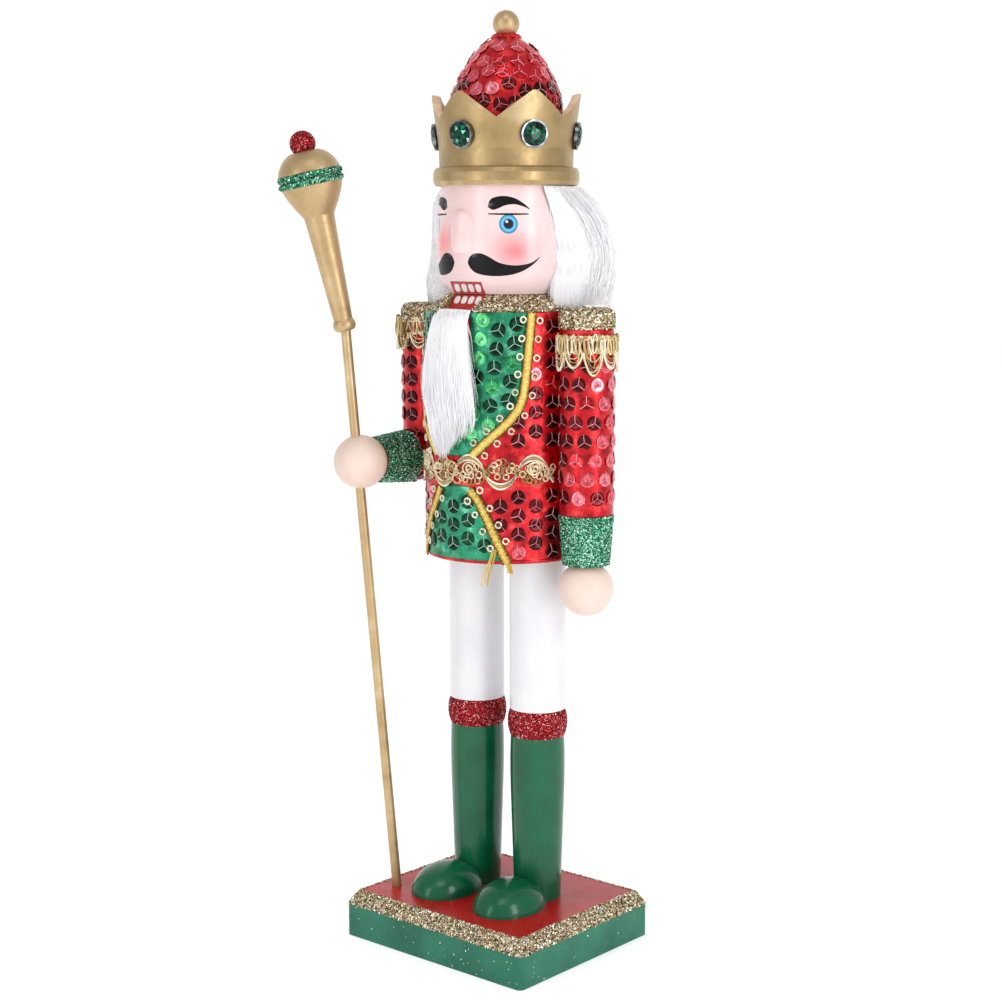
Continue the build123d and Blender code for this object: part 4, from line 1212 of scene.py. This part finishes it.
def soft_nose():
    """A rounded nose that swells out of the face, flush with it all round its edge."""
    hit = skin_finder("head_block")
    build = Build()
    rows, columns = 44, 30
    points = np.zeros((rows, columns, 3))
    for i, z in enumerate(np.linspace(NOSE_LOW, NOSE_TOP, rows)):
        middle = NOSE_TOP - NOSE_HALF_W
        squeeze = max(0.0, (z - middle) / NOSE_HALF_W)
        drop = max(0.0, (NOSE_LOW + NOSE_ROUND - z) / NOSE_ROUND)
        half = NOSE_HALF_W * math.sqrt(max(0.0, 1 - squeeze ** 2)) * (1 - 0.35 * drop ** 2)
        ridge = NOSE_RISE * math.sqrt(max(0.0, 1 - squeeze ** 3)) * math.sqrt(max(0.0, 1 - drop ** 3))
        for j, u in enumerate(np.linspace(-1, 1, columns)):
            skin, normal = hit(math.degrees(max(half, 0.2) * u / FACE_R), z)
            points[i, j] = skin + normal * (ridge * (1 - abs(u) ** 2.4) - 0.02)
    build.grid(points)
    back = points.copy()
    for i in range(rows):
        for j in range(columns):
            away = back[i, j] - np.array([0, AXIS[1], back[i, j, 2]])
            back[i, j] -= 0.012 * away
    build.grid(back[:, ::-1])
    build.grid(np.stack([border(points), border(back)]), closed=True)
    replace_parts(build.piece("soft_nose", [FACE.material]), "nose")


def mirror(points, side, reach=1.0):
    """Points of one side of the face; a reach over 1 brings their inner ends closer to the nose."""
    return [(side * (60 - (60 - a) * reach), z) for a, z in points]


def eye_disc(build, hit, angle, z, radius, slot, lift=0.09):
    """A round painted spot whose tone runs from 0 at its centre to 1 at its rim."""
    rings, sides = 14, 40
    per_mm = math.degrees(1 / FACE_R)
    turn = full_turn(sides)
    points = np.zeros((rings, sides, 3))
    tone = np.zeros((rings, sides))
    for i, share in enumerate(np.linspace(0.02, 1.0, rings)):
        for j in range(sides):
            r = radius * share
            p, n = hit(angle + per_mm * r * math.cos(turn[j]), z + r * math.sin(turn[j]))
            points[i, j] = p + n * (lift if share < 0.99 else 0.0)
        tone[i] = share
    build.grid(points, tone, slot, closed=True)


PLATE_HALF, TEETH_HALF, TEETH_COUNT, TEETH_RISE = 8.3, 7.4, 4, 0.28


def teeth_row(build, foot, head, slot):
    """Rounded teeth raised from a flat panel given by the (y, z) of its foot and head."""
    low_left, low_right, top_left, top_right = (
        np.array((x, *end), float) for end in (foot, head) for x in (-TEETH_HALF, TEETH_HALF))
    normal = unit(np.cross(low_right - low_left, top_left - low_left))
    if normal[1] > 0:
        normal = -normal
    for k in range(TEETH_COUNT):
        u0, u1 = (k + 0.13) / TEETH_COUNT, (k + 0.87) / TEETH_COUNT
        outline = []
        for a in full_turn(24):
            c, s = math.cos(a), math.sin(a)
            c, s = math.copysign(abs(c) ** 0.7, c), math.copysign(abs(s) ** 0.7, s)
            u, v = (u0 + u1) / 2 + c * (u1 - u0) / 2, 0.5 + 0.46 * s
            low = low_left + (low_right - low_left) * u
            top = top_left + (top_right - top_left) * u
            outline.append(low + (top - low) * v)
        outline = np.array(outline)
        centre = outline.mean(axis=0)
        inner = centre + (outline - centre) * 0.82
        rise = normal * TEETH_RISE
        rings = np.array([outline - normal * 0.05, outline + rise * 0.5, inner + rise,
                          centre + (inner - centre) * 0.03 + rise * 1.05])
        build.grid(rings, RNG.uniform(0.4, 1.0), slot, closed=True)


def mouth():
    """The upper red plate and its teeth on the head, and the teeth set in the jaw."""
    upper = Build()
    foot, head = (-15.75, 269.4), (-17.55, 274.0)
    front = np.array([[(-PLATE_HALF, *end), (PLATE_HALF, *end)] for end in (foot, head)])
    back = front + np.array([0, 0.5, 0.2])
    upper.grid(front, 0.5)
    upper.grid(back, 0.5)
    upper.grid(np.stack([border(front), border(back)]), 0.5, closed=True)
    teeth_row(upper, (-15.9, 269.9), (-17.45, 273.4), 1)
    upper.piece("mouth_upper", [RED.material, TEETH.material], smooth=False)
    lower = Build()
    teeth_row(lower, (-17.9, 265.2), (-15.75, 268.5), 0)
    lower.piece("teeth_lower", [TEETH.material], "jaw")


# ---------------------------------------------------------------- fur

SCALP_R, HAIR_TOP, BEARD_TOP, BEARD_FOOT = 28.1, 311.5, 263.4, 203.5
STRAND_SIDES, HAIR_FIBRES, BEARD_FIBRES, BEARD_LOCKS = 3, 8400, 7600, 46


def strands(build, paths, radius, tones):
    """Closed tapered fibres along (n, segments, 3) paths."""
    n, segments = paths.shape[:2]
    along = unit(np.gradient(paths, axis=1))
    guide = unit(RNG.normal(0, 1, (n, 1, 3)) + np.array([0.3, -1.0, 0.1]))
    side = unit(np.cross(along, guide))
    up = np.cross(side, along)
    taper = np.interp(np.linspace(0, 1, segments), [0, 0.25, 0.7, 1], [0.8, 1.0, 0.75, 0.12])
    turn = full_turn(STRAND_SIDES)
    ring = np.cos(turn)[:, None] * side[:, :, None] + np.sin(turn)[:, None] * up[:, :, None]
    points = paths[:, :, None] + ring * (radius[:, None] * taper)[:, :, None, None]
    index = np.arange(segments * STRAND_SIDES).reshape(segments, STRAND_SIDES)
    quads = quads_of(np.hstack([index, index[:, :1]]))
    caps = np.array([index[0][::-1], index[-1]])
    shift = (np.arange(n) * segments * STRAND_SIDES)[:, None, None]
    faces = [(quads[None] + shift).reshape(-1, 4), (caps[None] + shift).reshape(-1, 3)]
    build.add(points, faces, np.repeat(tones, segments * STRAND_SIDES))


def hair_place(u, z, inset):
    """A place on the hair's outside; u runs 0..1 from one cheek round the back to the other."""
    edge = at_height(HAIR_EDGE, z)
    angle = edge + u * (360 - 2 * edge)
    rounding = np.minimum(1 - np.exp(-u / 0.035), 1 - np.exp(-(1 - u) / 0.010))
    full = at_height(HAIR_PROFILE, z) - inset
    return around(angle, SCALP_R + (full - SCALP_R) * (0.05 + 0.95 * rounding), z)


def hair():
    """An undercoat shell and combed fibres over it, in two pieces that meet at the back."""
    core = Build()
    u = np.linspace(0, 1, 90)[None, :]
    z = np.linspace(265.0, HAIR_TOP - 0.1, 34)[:, None]
    outer = hair_place(u + 0 * z, z + 0 * u, 1.5 + 0.5 * waves(u * 60, z, 21, 3.0))
    core.grid(outer, 0.72)
    inner_z = np.maximum(z, 269.6)
    edge = at_height(HAIR_EDGE, z)
    inner = around(edge + u * (360 - 2 * edge), 27.9 - 0.06 * (300 - inner_z).clip(0), inner_z)
    core.grid(inner[:, ::-1], 0.3)
    core.grid(np.stack([border(outer), border(inner)]), 0.3, closed=True)
    count = HAIR_FIBRES
    u = RNG.random(count)
    near_face = RNG.random(count) < 0.3
    u = np.where(near_face, np.where(u < 0.5, u * 0.08, 1 - (1 - u) * 0.08), u)
    root = HAIR_TOP - 44.0 * RNG.random(count) ** 1.25
    length = RNG.uniform(16, 46, count)
    end = np.maximum(root - length, 262.6 + RNG.uniform(0, 8, count))
    t = np.linspace(0, 1, 7)[None, :]
    z = root[:, None] + (end - root)[:, None] * t
    lock = waves(u[:, None] * 90, root[:, None] * 0.35, 5, 2.6)
    drift = (RNG.normal(0, 0.006, count)[:, None] + 0.010 * lock) * t ** 1.3
    wave = 0.0035 * np.sin(t * RNG.uniform(3, 8, count)[:, None] + RNG.uniform(0, 6, count)[:, None])
    uu = np.clip(u[:, None] + drift + wave * np.minimum(t * 3, 1), -0.007, 1.004)
    depth = RNG.uniform(-0.6, 1.7, count)[:, None] * (1 - 0.5 * t) - 0.35 * lock * t
    paths = hair_place(uu, z, depth)
    # Fibres set deeper in the hair get darker tones, as painted shade.
    tones = np.clip(0.82 + 0.13 * lock[:, 0] + RNG.normal(0, 0.1, count) - 0.06 * depth[:, 0], 0, 1)
    radius = RNG.uniform(0.07, 0.18, count)
    core_piece = core.piece("hair_undercoat", [FUR.material])
    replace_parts(core_piece, "hair")
    for name, half in (("hair_fibres_left", u < 0.5), ("hair_fibres_right", u >= 0.5)):
        fibres = Build()
        strands(fibres, paths[half], radius[half], tones[half])
        fibres.piece(name, [FUR.material], smooth=False)


# Edges of the beard as (x or y, height).
BEARD_LEFT = [(-7.4, 263.5), (-9.4, 255), (-11.4, 245), (-12.4, 238), (-12.9, 230), (-10.8, 221),
              (-9.4, 212), (-5.4, 204)]
BEARD_RIGHT = [(8.8, 263.5), (9.8, 255), (10.9, 245), (11.9, 238), (13.0, 230), (14.0, 221),
               (11.5, 212), (3.0, 204)]
BEARD_FRONT = [(-29.2, 263.5), (-31.4, 258), (-33.2, 250), (-34.2, 240), (-34.4, 228),
               (-33.2, 216), (-30.6, 204)]


def beard_place(u, z, depth):
    """u runs -1..1 across the beard; depth 0 is its outer face, 1 its back."""
    left, right = at_height(BEARD_LEFT, z), at_height(BEARD_RIGHT, z)
    middle, half = (left + right) / 2, (right - left) / 2
    front = at_height(BEARD_FRONT, z)
    back = np.where(z > 262, -25.0, -28.0)
    bulge = np.sqrt(np.clip(1 - np.clip(np.abs(u), 0, 0.97) ** 2, 0, 1))
    y = back + (front - back) * bulge * (1 - depth)
    return np.stack([middle + half * u, y, z + 0 * u], axis=-1)


def beard():
    """A soft undercoat and clumped fibres, from under the jaw down to the chest."""
    core = Build()
    z = np.linspace(BEARD_TOP - 0.6, 216.0, 26)[:, None]
    turn = np.linspace(-0.97, 0.97, 23)[None, :]
    shrink = np.interp(z, [216, 228, 262.8], [0.4, 0.72, 0.93])
    front = beard_place(turn * shrink, z + 0 * turn, 0.22)
    back = beard_place(turn[:, ::-1] * shrink, z + 0 * turn, 0.94)
    shell = np.concatenate([front, back], axis=1)
    core.grid(shell, 0.6, closed=True)
    for row in (shell[0], shell[-1]):
        half = len(row) // 2
        core.grid(np.stack([row[:half], row[half:][::-1]]), 0.6)
    count = BEARD_FIBRES
    root = np.where(RNG.random(count) < 0.45, BEARD_TOP, BEARD_TOP - 40 * RNG.random(count) ** 1.5)
    length = RNG.uniform(22, 60, count)
    t = np.linspace(0, 1, 8)[None, :]
    clump = RNG.integers(0, BEARD_LOCKS, count)
    middle = np.linspace(-0.95, 0.95, BEARD_LOCKS)[clump] + 0.05 * np.sin(7.0 * clump)
    u = np.clip(middle + RNG.normal(0, 0.13, count), -1, 1)
    tip = np.maximum(root - length, BEARD_FOOT + 9 * RNG.random(count) * np.abs(u) + RNG.uniform(0, 5, count))
    tip = tip + 9.0 * np.sin(5.3 * clump) ** 2 * np.clip(0.4 + u, 0.15, 1) + 9.0 * np.clip(u, 0, 1)
    z = root[:, None] + (tip - root)[:, None] * t
    lock = np.sin(3.7 * clump)[:, None] + 0 * t
    stray = np.where(RNG.random(count) < 0.07, RNG.normal(0, 0.3, count), 0)[:, None]
    low = np.clip((244 - z) / 36, 0, 1)
    uu = u[:, None] + (RNG.normal(0, 0.05, count)[:, None] + 0.07 * lock + stray) * t ** 1.4
    uu = uu + low * 0.85 * (middle[:, None] - uu) * t + low * 0.14 * np.sin(2.3 * clump)[:, None] * t
    uu = np.clip(uu, -1.22, 1.22)
    depth = RNG.uniform(-0.1, 0.5, count)[:, None] + 0.15 * t
    paths = beard_place(uu, z, depth)
    start = np.clip((z - BEARD_TOP) / 3.9 + 1, 0, 1)
    tuck = RNG.uniform(0.5, 5.5, count)[:, None] * (1 - 0.9 * np.clip(uu, 0, 1))
    paths[..., 1] += start ** 2 * tuck
    # Fibres set deeper in the beard get darker tones, as painted shade.
    tones = np.clip(0.84 + 0.13 * lock[:, 0] + RNG.normal(0, 0.1, count) - 0.2 * depth[:, 0], 0, 1)
    radius = RNG.uniform(0.07, 0.17, count)
    inner, outer = Build(), Build()
    strands(inner, paths[::2], radius[::2], tones[::2])
    strands(outer, paths[1::2], radius[1::2], tones[1::2])
    for name, build in (("beard_undercoat", core), ("beard_fibres_inner", inner),
                        ("beard_fibres_outer", outer)):
        piece = build.piece(name, [FUR.material], None, smooth=False)
        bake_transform(piece)
        if build is core:
            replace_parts(piece, "beard")


# ---------------------------------------------------------------- crown and cap

def gem_facets():
    """Brilliant-cut glass stones, every facet its own flat face."""
    build = Build()

    def ring(radius, height, count, turn=0.0):
        a = np.radians(turn + np.arange(count) * 360 / count)
        return np.stack([radius * np.cos(a), radius * np.sin(a), 0 * a + height], axis=-1)

    table, star = ring(2.1, TABLE_Z, 8), ring(3.75, 1.5, 8, 22.5)
    girdle, foot = ring(GEM_R - 0.1, 0.75, 16), ring(GEM_R - 0.1, 0.3, 16)
    top = np.array([0, 0, TABLE_Z])
    facets = []
    for k in range(8):
        n = (k + 1) % 8
        facets.append([top, table[k], table[n]])
        facets.append([table[k], star[k], table[n]])
        facets.append([table[k], girdle[2 * k], star[k]])
        facets.append([table[n], star[k], girdle[(2 * k + 2) % 16]])
        facets.append([star[k], girdle[2 * k], girdle[2 * k + 1]])
        facets.append([star[k], girdle[2 * k + 1], girdle[(2 * k + 2) % 16]])
    for k in range(16):
        n = (k + 1) % 16
        facets.append([girdle[k], foot[k], foot[n]])
        facets.append([girdle[k], foot[n], girdle[n]])
    facets = np.array(facets)
    for angle in CROWN_TWIST + 60 * np.arange(6):
        out = np.array([sin_of(angle), -cos_of(angle), 0])
        z_axis = out * cos_of(GEM_LEAN) - np.array([0, 0, sin_of(GEM_LEAN)])
        x_axis = np.array([cos_of(angle), sin_of(angle), 0])
        y_axis = np.cross(z_axis, x_axis)
        centre = np.array([AXIS[0], AXIS[1], GEM_Z]) + out * GEM_WALL_R + z_axis * 0.5
        world = centre + facets @ np.stack([x_axis, y_axis, z_axis])
        for facet in world:
            # Each facet gets a dark, mid or near-white tone at random, as painted reflections.
            painted_facet_tones = [RNG.uniform(0.0, 0.3), RNG.uniform(0.4, 0.75), RNG.uniform(0.85, 1.0)]
            build.add(facet, [[[0, 1, 2]]], RNG.choice(painted_facet_tones, p=[0.66, 0.24, 0.1]))
    piece = build.piece("crown_gem_facets", [GEM.material], smooth=False)
    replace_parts(piece, "crown_gems")


def cap_cloth():
    """The dented cap, gathered towards its top, and its rows of sequins."""
    curve = smooth_curve(CAP_PROFILE, 60)
    turn = np.linspace(0, 360, 121)[:-1]
    build = Build()
    gather = np.clip((curve[:, 1] - 345) / 25, 0, 1)[:, None]
    folds = 0.35 * gather * np.sin(np.radians(turn * 9) + 2 * np.sin(np.radians(turn * 2)))
    dents = 0.22 * waves(turn[None, :] * 0.35, curve[:, 1:2], 31, 5.0)
    radius = curve[:, :1] - 0.3 + folds * 0.5 + dents * (1 - 0.5 * gather)
    build.grid(around(turn[None, :], radius, curve[:, 1:2] + 0 * radius), closed=True)
    piece = thicken(build.piece("cap_cloth", [RED_LAME.material]), COAT_T)
    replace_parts(piece, "cap_cover")
    places, normals, tones = [], [], []
    for row, z in enumerate(CAP_ROWS):
        r = at_height(CAP_PROFILE, z)
        slope = (at_height(CAP_PROFILE, z - 1) - at_height(CAP_PROFILE, z + 1)) / 2
        count = int(2 * math.pi * r / CAP_SEQUIN_PITCH)
        for k in range(count):
            angle = 8 + 360 * (k + 0.5 * (row % 2)) / count + RNG.normal(0, 22 / r)
            height = z + RNG.normal(0, 0.8)
            places.append(around(angle, at_height(CAP_PROFILE, height) - 0.1, height))
            normals.append(unit(outward(np.array(angle)) + np.array([0, 0, slope])))
            # Sequins on the upper cap, which faces up, get pale tones as painted highlights; lower ones are
            # mostly dark painted reflections.
            tones.append(sequin_tone(0.12) if z < 352 else RNG.uniform(0.42, 0.86))
    sew("sequins_cap", places, normals, tones)


def gathered_neck():
    """Puckered cloth where the cap is tied under its ball."""
    build = Build()
    turn = np.linspace(0, 360, 73)[:-1]
    rows = []
    for r, z in ((6.0, 369.9), (5.4, 370.9), (4.6, 371.5), (3.4, 371.7), (2.0, 371.4)):
        wobble = 0.35 * np.sin(np.radians(turn * 12)) * (r > 3)
        rows.append(around(turn, r + wobble, z + wobble * 0.5))
    build.grid(np.array(rows), closed=True)
    thicken(build.piece("cap_gather", [RED_LAME.material]), 0.5)


finish_cad(["crown_ring"], crown_enamel())
finish_cad(["finial", "staff_rod", "mace_head"], GOLD)
finish_cad(["gem_bezels"], BEZEL)
finish_cad(["cap_core"], FOAM)
finish_cad(["head_block"], FACE)
finish_cad(["jaw_lever"], RED)
finish_cad(["hand_left", "hand_right"], HAND)
finish_cad(["cuff_left", "cuff_right", "mace_glitter_bands"], GREEN_BASE)
finish_cad(["shoulder_glitter", "epaulette_pad_left", "epaulette_pad_right", "torso_block"], CHAMPAGNE_BASE)

glitter("shoulder_flakes", "shoulder_glitter", CHAMPAGNE, 6, (0.24, 0.5), upward, bright=0.24)
for side in ("left", "right"):
    glitter(f"pad_flakes_{side}", f"epaulette_pad_{side}", CHAMPAGNE, 6, (0.24, 0.5),
            lambda p, n: n[:, 2] > -0.3, bright=0.24)
    glitter(f"cuff_flakes_{side}", f"cuff_{side}", GREEN_GLITTER, 8, (0.18, 0.36), bright=0.2)
glitter("mace_band_flakes", "mace_glitter_bands", GREEN_GLITTER, 8, (0.18, 0.36), body="staff", bright=0.18)
glitter("mace_ball_flakes", "mace_red_ball", RED_GLITTER, 11, (0.16, 0.3), body="staff", bright=0.12)

coat_panels()
coat_sequins()
sleeve_cloth("sleeve_cloth_left", upright_rings(LEFT_ARM_Y, 1, CUFF_HIGH, PAD_LOW), "sleeve_left")
sleeve_cloth("sleeve_cloth_right", right_sleeve_rings(), "sleeve_right")
arm_sequins()
coat_braids()
gimp_belt()
fringe(1, LEFT_ARM_Y, 0.0, 0.3)
fringe(-1, RIGHT_ARM_Y, 4.6, 1.6)
paint_face()
soft_nose()
mouth()
hair()
beard()
gem_facets()
cap_cloth()
gathered_neck()


# ---------------------------------------------------------------- studio

BACKDROP_WAY = (-0.655, 0.755, 0.0)
ROOM_LEVEL, BACKDROP_LEVEL, FLOOR_GLOW = 0.5, 1.05, 0.4
LIGHT_AIM_Z, FLOOR_HALF, FLOOR_DROP = 0.2, 4.0, 0.0002
# Camera: heading, pitch and roll in degrees; shift, height and distance in metres; lens in mm.
EYE_ANGLES, EYE_SHIFT, EYE_HEIGHT, EYE_DISTANCE = (40.95, 8.02, -0.11), 0.00202, 0.18454, 0.78927
EYE_LENS, EYE_SENSOR = 69.29, 36.0


def area_light(name, angle, height, distance, width, tall, power):
    data = bpy.data.lights.new(name, "AREA")
    data.shape = "RECTANGLE"
    data.size, data.size_y, data.energy = width, tall, power
    light = bpy.data.objects.new(name, data)
    light.location = (distance * sin_of(angle), -distance * cos_of(angle), height)
    aim = Vector((0, 0, LIGHT_AIM_Z)) - light.location
    light.rotation_euler = aim.to_track_quat("-Z", "Y").to_euler()
    bpy.context.scene.collection.objects.link(light)


def studio():
    """A pale room with a bright backdrop, three soft lights and a pale floor."""
    world = bpy.data.worlds.new("studio")
    bpy.context.scene.world = world
    world.use_nodes = True
    tree = world.node_tree
    behind = tree.nodes.new("ShaderNodeVectorMath")
    behind.operation = "DOT_PRODUCT"
    behind.inputs[1].default_value = BACKDROP_WAY
    tree.links.new(tree.nodes.new("ShaderNodeTexCoord").outputs["Generated"], behind.inputs[0])
    level = tree.nodes.new("ShaderNodeMapRange")
    level.interpolation_type = "SMOOTHSTEP"
    for key, value in (("From Min", 0.2), ("From Max", 0.85),
                       ("To Min", ROOM_LEVEL), ("To Max", BACKDROP_LEVEL)):
        level.inputs[key].default_value = value
    tree.links.new(behind.outputs["Value"], level.inputs["Value"])
    tree.nodes["Background"].inputs["Color"].default_value = (1.0, 1.0, 1.0, 1.0)
    tree.links.new(level.outputs["Result"], tree.nodes["Background"].inputs["Strength"])
    area_light("softbox_left", -6, 0.5, 1.2, 0.3, 0.9, 2.6)
    area_light("softbox_right", 82, 0.5, 1.2, 0.3, 0.9, 5.0)
    area_light("top_light", 40, 1.4, 0.7, 0.6, 0.6, 2.4)
    floor = bpy.data.meshes.new("floor")
    corners = [(FLOOR_HALF * x, FLOOR_HALF * y, 0) for x, y in ((-1, -1), (1, -1), (1, 1), (-1, 1))]
    floor.from_pydata(corners, [], [(0, 1, 2, 3)])
    sheet = bpy.data.objects.new("floor", floor)
    bpy.context.scene.collection.objects.link(sheet)
    sheet.location.z = -FLOOR_DROP
    paint = Paint("pale_floor")
    paint.colour(paint.ramp(paint.noise(3, 2), [(0.3, 0xFAFAFA), (0.7, 0xFDFDFD)]))
    paint.set(rough=0.8, specular=0.1, glow=FLOOR_GLOW)
    paint.shader.inputs["Emission Color"].default_value = (1.0, 1.0, 1.0, 1.0)
    floor.materials.append(paint.material)


def camera():
    """The photo's view, at its own distance, pitch and slight roll."""
    turn, pitch, roll = (math.radians(a) for a in EYE_ANGLES)
    level = Vector((math.cos(turn), math.sin(turn), 0))
    back = Vector((math.sin(turn) * math.cos(pitch), -math.cos(turn) * math.cos(pitch),
                   math.sin(pitch)))
    rise = back.cross(level)
    right = level * math.cos(roll) + rise * math.sin(roll)
    up = back.cross(right)
    place = level * EYE_SHIFT + Vector((0, 0, EYE_HEIGHT)) + back * EYE_DISTANCE
    data = bpy.data.cameras.new("camera")
    data.sensor_width = EYE_SENSOR
    data.lens = EYE_LENS
    eye = bpy.data.objects.new("camera", data)
    bpy.context.scene.collection.objects.link(eye)
    columns = [right, up, back, place]
    eye.matrix_world = Matrix([[c[i] for c in columns] for i in range(3)] + [[0, 0, 0, 1]])
    bpy.context.scene.camera = eye


studio()
camera()
bpy.context.scene.view_settings.view_transform = "Standard"
